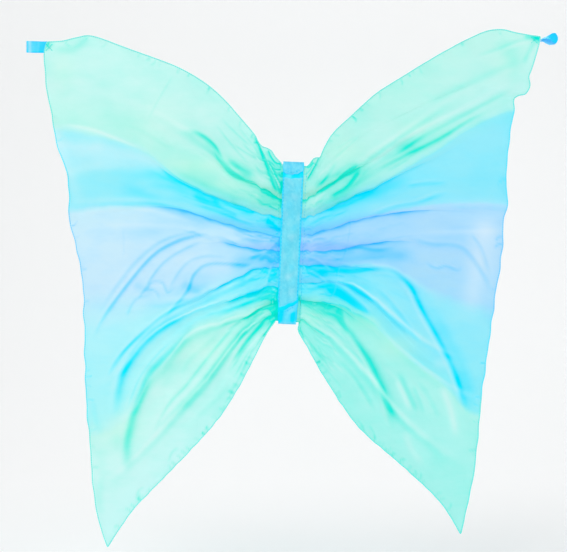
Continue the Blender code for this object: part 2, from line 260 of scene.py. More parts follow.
class Look:
    """A short way to write a material; an input takes either a socket or a plain value."""

    def __init__(self, name):
        self.material = bpy.data.materials.new(name)
        self.material.use_nodes = True
        self.tree = self.material.node_tree
        self.tree.nodes.clear()
        self.out = self.add("ShaderNodeOutputMaterial")

    def add(self, kind, inputs=None, **settings):
        node = self.tree.nodes.new(kind)
        for key, value in settings.items():
            setattr(node, key, value)
        for key, value in (inputs or {}).items():
            if isinstance(value, bpy.types.NodeSocket):
                self.tree.links.new(value, node.inputs[key])
            else:
                node.inputs[key].default_value = value
        return node

    def attribute(self, name):
        return self.add("ShaderNodeAttribute", attribute_name=name).outputs["Fac"]

    def math(self, operation, first, second, clamp=False):
        inputs = {0: first, 1: second}
        return self.add("ShaderNodeMath", inputs, operation=operation, use_clamp=clamp).outputs[0]

    def plus(self, first, second):
        return self.math("ADD", first, second)

    def times(self, first, second):
        return self.math("MULTIPLY", first, second)

    def swing(self, value, middle, size):
        """A noise moved to lie about zero, and scaled."""
        return self.times(self.math("SUBTRACT", value, middle), size)

    def mix(self, factor, first, second, blend="MIX"):
        inputs = {0: factor, 6: first, 7: second}
        return self.add("ShaderNodeMix", inputs, data_type="RGBA", blend_type=blend).outputs[2]

    def tinted(self, factor, colour, tint):
        return self.mix(factor, colour, self.mix(1.0, colour, tint, "MULTIPLY"))

    def ramp(self, factor, stops):
        node = self.add("ShaderNodeValToRGB", {0: factor})
        ramp = node.color_ramp
        while len(ramp.elements) < len(stops):
            ramp.elements.new(0.5)
        for element, (position, colour) in zip(ramp.elements, stops):
            element.position = position
            element.color = colour
        return node.outputs[0]

    def object_place(self):
        return self.add("ShaderNodeTexCoord").outputs["Object"]

    def noise(self, scale, detail=3.0, rough=0.5, stretch=None):
        vector = self.object_place()
        if stretch:
            vector = self.add("ShaderNodeMapping", {0: vector, "Scale": stretch}).outputs[0]
        inputs = {"Scale": scale, "Detail": detail, "Roughness": rough, "Vector": vector}
        return self.add("ShaderNodeTexNoise", inputs).outputs["Fac"]

    def wave(self, scale, direction, distortion):
        inputs = {"Scale": scale, "Distortion": distortion, "Detail": 1.0,
                  "Vector": self.object_place()}
        return self.add("ShaderNodeTexWave", inputs, wave_type="BANDS",
                        bands_direction=direction, wave_profile="SIN").outputs["Fac"]

    def bump(self, height, strength, distance, under=None):
        """under is the normal of a finer relief."""
        inputs = {"Height": height, "Strength": strength, "Distance": distance}
        if under is not None:
            inputs["Normal"] = under
        return self.add("ShaderNodeBump", inputs).outputs[0]

    def fabric(self, colour, roughness, normal, sheen, more=None):
        """Dyed fibre: its gloss and sheen take its own colour."""
        inputs = {"Base Color": colour, "Roughness": roughness, "Specular Tint": colour,
                  "Sheen Weight": sheen, "Sheen Tint": colour, "Normal": normal, **(more or {})}
        return self.add("ShaderNodeBsdfPrincipled", inputs).outputs[0]

    def glowing(self, shader, colour, strength):
        """Adds an emission: on cloth a painted glow, standing in for light scattered within it; on
        the paper an even glow.
        """
        glow = self.add("ShaderNodeEmission", {"Color": colour, "Strength": strength})
        return self.add("ShaderNodeAddShader", {0: shader, 1: glow.outputs[0]}).outputs[0]

    def mix_shaders(self, factor, first, second):
        return self.add("ShaderNodeMixShader", {0: factor, 1: first, 2: second}).outputs[0]

    def finish(self, shader):
        self.tree.links.new(shader, self.out.inputs[0])
        return self.material


def silk(name, light, painted_shade):
    """Dyed silk. The dye attribute picks a colour from two ramps: light for a single layer, and
    the other for painted shade: a darker, stronger colour painted on cloth in folds, creases and
    layers."""
    look = Look(name)
    drift = look.swing(look.noise(scale=9, detail=4, rough=0.55), middle=0.5, size=0.028)
    fine_drift = look.swing(look.noise(scale=60, detail=3, rough=0.6), middle=0.5, size=0.012)
    dye = look.plus(look.plus(look.attribute("dye"), drift), fine_drift)
    pale, strong = look.ramp(dye, light), look.ramp(dye, painted_shade)
    cloud = look.swing(look.noise(scale=16, detail=4, rough=0.6, stretch=(1, 1, 2.2)),
                       middle=0.47, size=0.60)
    broad = look.swing(look.noise(scale=6.5, detail=3, rough=0.5), middle=0.47, size=0.34)
    # painted shade from the mesh, plus random cloudy mottling of the dye
    shade_and_mottling = look.math("ADD", look.plus(look.attribute("painted_shade"), cloud), broad, clamp=True)
    colour = look.mix(shade_and_mottling, pale, strong)
    colour = look.mix(look.attribute("warm"), colour, linear((208, 250, 224)))
    # painted highlight, mixed towards white
    colour = look.mix(look.attribute("lift"), colour, WHITE)
    weave = look.times(look.wave(scale=820, direction="Z", distortion=0.5),
                       look.wave(scale=900, direction="X", distortion=0.5))
    slub = look.noise(scale=240, detail=2, rough=0.6, stretch=(0.12, 1, 1))
    colour = look.tinted(look.times(slub, 0.07), colour, tint=(0.82, 0.94, 0.97, 1))
    crinkle = look.noise(scale=55, detail=4, rough=0.55, stretch=(1, 1, 2.0))
    normal = look.bump(crinkle, strength=0.16, distance=0.002,
                       under=look.bump(weave, strength=0.12, distance=0.0002))
    surface = look.fabric(colour, look.plus(0.46, look.times(weave, 0.12)), normal, sheen=0.12,
                          more={"Specular IOR Level": 0.26, "Sheen Roughness": 0.4})
    through = look.add("ShaderNodeBsdfTranslucent", {"Color": colour, "Normal": normal})
    # lined cloth lets less light through
    single = look.math("SUBTRACT", 1.0, look.attribute("lining"))
    both = look.mix_shaders(look.times(single, 0.36), surface, through.outputs[0])
    # a painted glow on the painted shade, standing in for light caught between the layers
    return look.finish(look.glowing(both, colour, strength=look.times(shade_and_mottling, 0.17)))


def satin(name, base, shade, glint, painted_shade):
    """Satin ribbon: mottled dye, long floats across the width, and a soft gloss."""
    look = Look(name)
    mottled = look.noise(scale=95, detail=5, rough=0.62, stretch=(1, 1, 0.6))
    mottles = look.ramp(mottled, [(0.35, BLACK), (0.68, WHITE)])
    colour = look.mix(mottles, linear(base), linear(shade))
    # random patches painted paler, as glints on the satin
    patches = look.ramp(look.noise(scale=240, detail=3, rough=0.5), [(0.5, BLACK), (0.75, WHITE)])
    colour = look.mix(look.times(patches, 0.45), colour, linear(glint))
    # painted shade from the ribbon's shape, then a painted highlight mixed towards white
    painted_shade_amount = look.attribute("painted_shade")
    colour = look.mix(painted_shade_amount, colour, linear(painted_shade))
    colour = look.mix(look.attribute("lift"), colour, WHITE)
    floats = look.wave(scale=1500, direction="Z", distortion=0.8)
    colour = look.tinted(look.times(floats, 0.10), colour, tint=(0.75, 0.9, 0.95, 1))
    normal = look.bump(look.noise(scale=130, detail=4, rough=0.55), strength=0.35,
                       distance=0.0015, under=look.bump(floats, strength=0.2, distance=0.0001))
    surface = look.fabric(colour, look.plus(0.3, look.times(mottled, 0.2)), normal, sheen=0.12,
                          more={"Specular IOR Level": 0.4, "Anisotropic": 0.4})
    # a painted glow on the painted shade
    return look.finish(look.glowing(surface, colour, strength=look.times(painted_shade_amount, 0.26)))


def yarn(name, base, shade):
    """Twisted sewing thread, with painted shade between its plies."""
    look = Look(name)
    base, shade = linear(base), linear(shade)
    ply = look.wave(scale=2600, direction="DIAGONAL", distortion=0.3)
    colour = look.mix(ply, shade, base)
    colour = look.mix(look.times(look.noise(scale=300, detail=2), 0.3), colour, shade)
    surface = look.fabric(colour, look.plus(0.45, look.times(ply, 0.2)),
                          look.bump(ply, strength=0.5, distance=0.0002), sheen=0.2)
    # a painted glow
    return look.finish(look.glowing(surface, colour, strength=0.40))


def hem_cloth(name, light, painted_shade):
    """The rolled edge of the silk, with thread wound round it."""
    look = Look(name)
    dye = look.attribute("dye")
    # painted shade: the hem is coloured half way to the shade ramp, and further where the thread is
    # wound
    colour = look.mix(0.48, look.ramp(dye, light), look.ramp(dye, painted_shade))
    wound = look.times(look.attribute("wound"), 0.45)
    colour = look.mix(wound, colour, look.ramp(dye, painted_shade))
    colour = look.mix(0.14, colour, linear((110, 222, 242)))
    roughness = look.plus(0.5, look.times(look.noise(scale=500, detail=2), 0.2))
    normal = look.bump(look.noise(scale=700, detail=2), strength=0.3, distance=0.0003)
    surface = look.fabric(colour, roughness, normal, sheen=0.2)
    # a painted glow
    return look.finish(look.glowing(surface, colour, strength=0.10))


def elastic_cloth(name):
    """Knitted elastic: fine ribs along it, crossed by rows of picks."""
    look = Look(name)
    ribs, picks = look.attribute("rib"), look.attribute("pick")
    # painted shade: darker in the grooves between the ribs and along the rows of picks
    colour = look.mix(ribs, (0.60, 0.66, 0.69, 1), (0.90, 0.93, 0.94, 1))
    colour = look.mix(look.times(picks, 0.3), colour, (0.70, 0.78, 0.82, 1))
    stain = look.times(look.noise(scale=180, detail=3), 0.18)
    colour = look.mix(stain, colour, (0.62, 0.80, 0.84, 1))
    knit = look.bump(look.times(ribs, picks), strength=0.4, distance=0.0003)
    surface = look.add("ShaderNodeBsdfPrincipled", {
        "Base Color": colour, "Roughness": look.plus(0.68, look.times(picks, 0.15)),
        "Sheen Weight": 0.25, "Normal": knit})
    return look.finish(surface.outputs[0])


def paper(name):
    """Pale paper with a slight glow, clear when seen from its back."""
    look = Look(name)
    grain = look.times(look.noise(scale=3, detail=2, rough=0.5), 0.04)
    tone = look.mix(grain, (0.93, 0.93, 0.93, 1), (0.8, 0.8, 0.8, 1))
    surface = look.add("ShaderNodeBsdfDiffuse", {0: tone}).outputs[0]
    glowing = look.glowing(surface, tone, strength=0.085)
    facing = look.add("ShaderNodeNewGeometry").outputs["Backfacing"]
    clear = look.add("ShaderNodeBsdfTransparent").outputs[0]
    return look.finish(look.mix_shaders(facing, glowing, clear))


def stops(*pairs):
    return [(position, linear(colour)) for position, colour in pairs]


# Dye down each wing: place from the top edge (0) to the bottom edge (1), and sRGB colour
LEFT_LIGHT = stops(
    (0.00, (202, 251, 244)), (0.09, (205, 250, 244)), (0.135, (194, 250, 240)),
    (0.158, (188, 249, 238)), (0.172, (184, 246, 250)), (0.20, (196, 246, 254)),
    (0.225, (180, 244, 254)), (0.255, (156, 241, 252)), (0.318, (154, 240, 253)),
    (0.335, (202, 240, 254)), (0.41, (206, 239, 255)), (0.485, (203, 237, 255)),
    (0.525, (192, 242, 255)), (0.58, (182, 247, 255)), (0.69, (174, 248, 254)),
    (0.735, (176, 250, 253)), (0.765, (203, 252, 245)), (0.86, (208, 253, 248)),
    (1.00, (204, 253, 250)))
RIGHT_LIGHT = stops(
    (0.00, (193, 248, 238)), (0.08, (196, 248, 242)), (0.112, (184, 247, 241)),
    (0.126, (154, 240, 250)), (0.17, (152, 238, 253)), (0.29, (146, 236, 253)),
    (0.345, (154, 236, 253)), (0.358, (184, 228, 254)), (0.45, (178, 225, 254)),
    (0.545, (172, 226, 254)), (0.572, (158, 238, 254)), (0.67, (148, 240, 253)),
    (0.712, (144, 242, 250)), (0.728, (178, 248, 240)), (0.85, (176, 249, 242)),
    (1.00, (170, 248, 240)))
# the colours painted as shade: silk in folds, under pleat edges and in several layers
LEFT_PAINTED_SHADE = stops(
    (0, (10, 222, 204)), (0.15, (2, 220, 198)), (0.175, (0, 224, 240)), (0.318, (0, 216, 244)),
    (0.34, (66, 192, 252)), (0.50, (56, 196, 252)), (0.54, (0, 214, 242)), (0.70, (0, 220, 240)),
    (0.745, (0, 222, 228)), (0.775, (2, 224, 204)), (1.0, (20, 226, 206)))
RIGHT_PAINTED_SHADE = stops(
    (0, (10, 224, 206)), (0.112, (0, 220, 200)), (0.13, (0, 220, 240)), (0.33, (0, 212, 246)),
    (0.365, (68, 188, 252)), (0.55, (54, 190, 252)), (0.575, (0, 212, 244)),
    (0.712, (0, 216, 240)), (0.73, (0, 220, 208)), (1.0, (16, 224, 204)))
silk_left = silk("left_wing_dyed_silk", LEFT_LIGHT, LEFT_PAINTED_SHADE)
silk_right = silk("right_wing_dyed_silk", RIGHT_LIGHT, RIGHT_PAINTED_SHADE)
hem_left = hem_cloth("left_hem_cloth", LEFT_LIGHT, LEFT_PAINTED_SHADE)
hem_right = hem_cloth("right_hem_cloth", RIGHT_LIGHT, RIGHT_PAINTED_SHADE)
satin_front = satin("band_front_satin", base=(124, 229, 249), shade=(98, 214, 240),
                    glint=(150, 238, 252), painted_shade=(10, 214, 250))
satin_back = satin("band_back_satin", base=(140, 232, 253), shade=(92, 212, 246),
                   glint=(160, 240, 253), painted_shade=(8, 206, 246))
satin_loop = satin("loop_satin", base=(112, 226, 250), shade=(70, 214, 248),
                   glint=(140, 236, 252), painted_shade=(4, 196, 250))
thread_blue = yarn("sewing_thread_blue", base=(44, 206, 232), shade=(4, 164, 204))
thread_green = yarn("sewing_thread_green", base=(10, 218, 208), shade=(0, 190, 184))
elastic_look = elastic_cloth("knit_elastic_white")


# ---------------------------------------------------------------- the design of the wings
def table(text):
    """Rows of 'values : x,z x,z ...' as (points, *values)."""
    rows = []
    for row in text.strip().splitlines():
        values, points = row.split(":")
        points = np.array(points.replace(",", " ").split(), float).reshape(-1, 2)
        rows.append((points, *map(float, values.split())))
    return rows


# All places are x,z in mm, and each line runs through its points.
# top, outer, tip, bottom: the outline, fitted later to the CAD silk's box. bottom starts at the tip.
# folds: the lower edge of each knife pleat, from the band to the outer edge.
#   overlap at the band, how far the overlap reaches, depth, how far the ridge reaches, dye place
# creases: soft creases. width, height, strength of the painted shade (painted light where below
# zero), offset of that shade across the line (0 if left out)
# washes: painted shade without relief (painted light where below zero). width, strength of that shade
# edges: where one part lies over another. the side that lies under (1 is up when the line runs
#   away from the band), height, how far the upper part stays raised, strength of the painted shade
#   beneath, spread
# dye_runs: where the dye has run past its line. x, z, half width, half height, change of dye
# warm: where the dye is warmer. x, z, half width, half height, strength
# band_shade, gather_shade: painted shade close to the band, in all and in the gathers
# low_shade, low_reach: painted shade beside the band's lower end, and how far it reaches
LEFT = SimpleNamespace(
    side=-1, name="left", silk=silk_left, hem=hem_left, thread=thread_green,
    band_shade=0.22, gather_shade=0.75, low_shade=0.62, low_reach=6.0,
    top=[(-18, 103), (-22.5, 110), (-28, 113.5), (-34, 115.5), (-38.5, 121), (-44, 131),
         (-62, 152), (-80, 172), (-102, 191), (-132, 209), (-168, 223), (-204, 236), (-239, 248),
         (-257, 246), (-275, 242), (-293, 241)],
    outer=[(-296, 228), (-295, 205), (-292, 178), (-286, 150), (-281, 121), (-271, 92),
           (-266, 68), (-266, 35), (-262, 12), (-256, -8), (-249, -54), (-248, -98),
           (-245, -191), (-240, -248), (-236, -300), (-227, -344)],
    tip=(-220, -365),
    bottom=[(-208, -346), (-188, -318), (-160, -289), (-123, -251), (-88, -212), (-63, -174),
            (-44, -138), (-29, -109)],
    folds=table("""
9 62 2.2 130 0.085: -11.16,52.8 -35.16,68.4 -61.56,80.4 -80.76,97.2 -96.36,114 \
    -132.36,138 -204.36,177.6 -288.36,195.6
10 190 2.2 260 0.165: -14.76,31.2 -35.16,36.6 -67.56,46.8 -96.36,58.8 -131.16,75.6 \
    -165.96,104.4 -195.96,120 -240.36,133.2 -271.56,139.2
10 150 2 240 0.315: -13.56,7.2 -41.16,14.4 -67.56,20.4 -93.96,28.8 -126.36,40.8 \
    -159.96,48 -204.36,48 -266.76,44.4
9 140 2 210 0.372: -13.56,-9.6 -48.36,-4.8 -80.76,6.6 -110.76,13.2 -141.96,19.2 \
    -177.96,22.8 -228.36,20.4 -263.16,14.4
9 90 2.4 150 0.522: -13.56,-28.8 -33.96,-29.4 -47.16,-31.2 -56.76,-37.2 -80.76,-48 \
    -113.16,-66 -156.36,-73.2 -204.36,-76.8 -248.76,-80.4
9 80 3.2 205 0.69: -13.56,-51.24 -27.96,-51.6 -43.56,-58.8 -87.96,-70.8 -131.16,-87.6 \
    -157.56,-102.6 -179.16,-122.4 -195.96,-144 -222.36,-166.8 -247.56,-174
7 52 2.6 190 0.768: -15.96,-72 -37.56,-78 -48.36,-85.2 -87.96,-96 -120.36,-108 \
    -150.36,-144 -171.96,-168 -182.76,-193.2 -206.76,-214.8 -242.76,-226.8
5 30 2.6 200 0.885: -17.16,-86.4 -33.96,-90 -51.96,-102 -67.56,-120 -87.96,-148.8 \
    -111.96,-178.8 -139.56,-208.8 -163.56,-235.2 -201.96,-272.4 -236.76,-296.4
"""),
    creases=table("""
3.8 2.2 0.6 0.6: -89.16,16.8 -105.96,10.8 -135.96,2.4 -164.76,-14.4 -195.96,-50.4 \
    -224.76,-90 -240.36,-122.4
4.4 1.6 0.28: -93.96,20.4 -117.96,12 -150.36,3.6 -180.36,-18 -211.56,-56.4 -233.16,-90
3 1.2 0.35 0.3: -101.16,3.6 -127.56,-7.2 -151.56,-22.8 -168.36,-44.4 -180.36,-68.4
3.4 1.6 0.42 0.4: -33.96,-28.8 -67.56,-25.2 -98.76,-25.2 -115.56,-37.2 -123.96,-57.6 \
    -144.36,-82.8 -158.76,-104.4
3 1.2 0.25 0.3: -72.36,-18 -101.16,-15.6 -122.76,-22.8 -137.16,-39.6 -149.16,-63.6
2.6 1.4 0.32 0.3: -173.16,-58.8 -165.96,-48 -153.96,-48 -146.76,-60 -137.16,-51.6
2.6 1.2 0.26 0.3: -182.76,-68.4 -173.16,-56.4 -161.16,-58.8 -156.36,-70.8
3.2 1.2 0.26 0.3: -197.16,-90 -185.16,-68.4 -165.96,-63.6
3.6 1.6 0.46 0.3: -108.36,-68.4 -132.36,-75.6 -156.36,-90 -177.96,-109.2 -199.56,-130.8 \
    -213.96,-154.8
8.5 2.8 0.6 0.6: -113.16,-80.4 -123.96,-84 -164.76,-108 -193.56,-142.8 -205.56,-175.2 \
    -210.36,-217.2
4 1.6 0.4 0.4: -165.96,-96 -187.56,-116.4 -206.76,-138 -221.16,-164.4
9.5 3 0.66 0.4: -117.96,-87.6 -122.76,-108 -144.36,-132 -167.16,-156 -180.36,-184.8 \
    -189.96,-212.4 -195.96,-243.6 -193.56,-289.2
3.4 1.6 0.34 0.2: -134.76,-111.6 -156.36,-130.8 -177.96,-157.2 -189.96,-183.6 -199.56,-212.4
7.5 2.4 0.58 0.6: -33.96,-87.6 -57.96,-108 -75.96,-128.4 -99.96,-160.8 -123.96,-188.4 \
    -147.96,-212.4 -163.56,-234
3.6 1.6 0.34 -0.4: -53.16,-87.6 -77.16,-111.6 -104.76,-145.2 -125.16,-171.6 \
    -146.76,-195.6 -168.36,-236.4
4.4 1.6 0.62 0.8: -26.76,-90 -45.96,-109.2 -60.36,-128.4 -72.36,-147.6
5 1.4 0.14: -81.96,-104.4 -102.36,-123.6 -120.36,-140.4 -134.76,-162
6 1.2 0.12: -65.16,-164.4 -93.96,-193.2 -120.36,-217.2
3.6 0.6 0.45: -33.96,18 -60.36,26.4 -90.36,38.4 -122.76,48
4.5 1.4 -0.15: -259.56,34.8 -213.96,42 -168.36,39.6 -125.16,27.6 -93.96,15.6
3 0.6 -0.26: -278.76,142.8 -240.36,136.8 -201.96,122.4 -168.36,108
5.5 0.6 0.38: -29.16,-3.6 -50.76,1.2 -69.96,0 -89.16,6
4 0.8 0.45: -17.16,-22.8 -33.96,-15.6 -53.16,-19.2
5.5 1.4 0.34: -26.76,-34.8 -53.16,-46.8 -81.96,-61.2 -113.16,-72
4 1.4 0.42: -17.16,-61.2 -33.96,-66 -60.36,-75.6 -93.96,-90
7 1.2 0.16: -237.96,-183.6 -233.16,-212.4 -223.56,-236.4
1.4 0.5 0.16: -138.36,205.2 -156.36,174 -174.36,141.6
1.2 0.3 0.1: -200.76,21.6 -199.56,-2.4 -200.76,-22.8
6 1.7 0.72 1: -31.56,68.4 -53.16,78 -69.96,85.2 -81.96,99.6 -91.56,116.4 -109.56,130.8 \
    -137.16,134.4
2.4 1.2 0.45 0.5: -14.76,56.4 -26.76,90 -37.56,118.8
1.8 0.8 0.32: -12.36,73.2 -21.96,90 -29.16,104.4
7 1 0.18: -93.96,44.4 -120.36,56.4 -144.36,66 -180.36,70.8
6 0.6 0.45: -60.36,30 -84.36,42 -91.56,51.6
2.5 0.8 0.22: -132.36,-244.8 -141.96,-250.8 -146.76,-265.2
2.5 0.8 0.22: -173.16,-291.6 -181.56,-296.4 -185.16,-308.4
14 1.8 0.08: -264.36,214.8 -234.36,195.6 -192.36,181.2 -144.36,157.2
8 1.2 0.12: -224.76,-272.4 -228.36,-308.4 -221.16,-339.6
3 0.8 0.6: -19.56,-25.2 -23.76,-38.4 -27.96,-54
3.6 0.6 0.36: -9.96,6 -24.36,-9.6 -41.16,-25.2
8 0.5 0.26: -240.36,250.8 -248.76,241.2 -259.56,232.8 -273.96,231.6 -288.36,235.2
2 0.4 0.75: -291.36,248.4 -290.16,241.2 -293.76,232.8
"""),
    washes=table("""
17 0.42: -38.76,42 -72.36,51.6 -102.36,63.6 -134.76,75.6 -180.36,85.2 -228.36,87.6
6.5 0.55: -81.96,43.2 -98.76,48 -110.76,55.2 -120.36,58.8
15 0.14: -173.16,126 -132.36,109.2 -91.56,90
24 0.1: -233.16,162 -192.36,150 -161.16,135.6
12 0.14: -173.16,27.6 -132.36,21.6 -96.36,13.2
14 0.16: -141.96,-70.8 -113.16,-62.4 -86.76,-52.8
9 0.3: -33.96,-27.6 -24.36,-34.8 -12.36,-42
9 0.28: -41.16,56.4 -26.76,49.2 -9.96,40.8
12 0.2: -77.16,99.6 -55.56,85.2 -33.96,70.8
12 0.16: -127.56,94.8 -101.16,82.8 -77.16,70.8
16 0.12: -211.56,-226.8 -199.56,-250.8 -187.56,-272.4
14 0.1: -230.76,-243.6 -225.96,-265.2 -218.76,-289.2
11 0.14: -113.16,-75.6 -149.16,-94.8 -180.36,-122.4 -199.56,-159.6 -207.96,-195.6
9 0.42: -81.96,99.6 -60.36,87.6 -38.76,75.6
15 0.11: -233.16,116.4 -204.36,117.6 -168.36,120
12 0.26: -209.16,75.6 -146.76,42 -77.16,13.2
10 -0.15: -285.96,78 -228.36,92.4 -151.56,85.2
13 -0.16: -302.76,176.4 -285.96,138 -264.36,80.4 -247.56,34.8
9 0.24: -189.96,-49.2 -175.56,-55.2 -161.16,-61.2
9 0.26: -132.36,-46.8 -117.96,-55.2 -103.56,-63.6
6 0.75: -31.56,28.8 -20.76,20.4 -7.56,8.4
4 0.75: -55.56,-64.8 -39.96,-58.2 -21.96,-55.2
3.6 0.6: -74.76,51.6 -60.36,43.2 -41.16,34.8
4.6 0.75: -36.36,66 -26.76,60 -13.56,52.8
7 0.6: -21.96,-58.8 -17.16,-75.6 -18.36,-94.8
7 0.16: -33.96,114 -23.16,102 -13.56,87.6 -9.96,70.8
26 0.19: -180.36,92.4 -132.36,78 -91.56,56.4 -48.36,37.2 -9.96,25.2
18 0.2: -132.36,145.2 -93.96,116.4 -65.16,85.2 -33.96,61.2
22 0.2: -216.36,61.2 -168.36,52.8 -108.36,44.4
10 0.08: -41.16,123.6 -31.56,97.2 -24.36,75.6 -19.56,44.4
16 0.34: -77.16,-30 -41.16,-22.8 -0.36,-22.8
20 0.26: -69.96,-75.6 -41.16,-61.2 -0.36,-51.6
24 0.16: -180.36,-75.6 -132.36,-61.2 -84.36,-34.8
18 0.13: -218.76,-241.2 -185.16,-219.6 -149.16,-186
15 0.1: -72.36,-114 -41.16,-92.4 -2.76,-68.4
7 0.1: -23.16,56.4 -20.76,27.6 -20.76,-8.4 -23.16,-44.4
12 0.14: -108.36,-126 -137.16,-147.6 -158.76,-178.8
20 0.1: -278.76,212.4 -269.16,193.2 -264.36,171.6
"""),
    edges=table("""
1 1.9 16 1.15 2.8: -43.56,132 -36.96,116.4 -29.16,99.6 -21.96,84 -14.76,67.2 -10.56,54
-1 0.9 3 0.9 1.3: -8.76,95.4 -16.56,96 -22.56,102.6 -26.76,112.2
1 0.7 3 0.6 1.2: -9.96,87.6 -18.36,88.2 -26.76,96
1 0.7 3 0.7 1.1: -9.36,78 -15.96,82.8 -22.56,90
1 0.7 2.5 0.8 1.1: -9.36,66 -14.16,74.4 -20.16,84
-1 1.1 4 0.95 3.6: -14.76,-97.2 -20.16,-86.4 -22.56,-72 -20.76,-61.2
-1 0.9 4 0.65 2.2: -15.96,-90 -26.76,-104.4 -33.96,-112.8
-1 0.9 4 0.55 1.6: -14.76,-74.4 -26.76,-74.4 -38.76,-79.2 -48.36,-86.4
"""),
    dye_runs=[(-221.16, -217.2, 36, 31.2, -0.022)],
    warm=[(-108.36, 92.4, 40.8, 10.8, 0.28), (-74.76, 70.8, 26.4, 8.4, 0.16),
          (-206.76, -222, 31.2, 19.2, 0.20), (-102.36, -128.4, 36, 16.8, 0.18),
          (-156.36, 147.6, 36, 26.4, 0.12), (-273.96, 207.6, 16.8, 26.4, 0.18)])
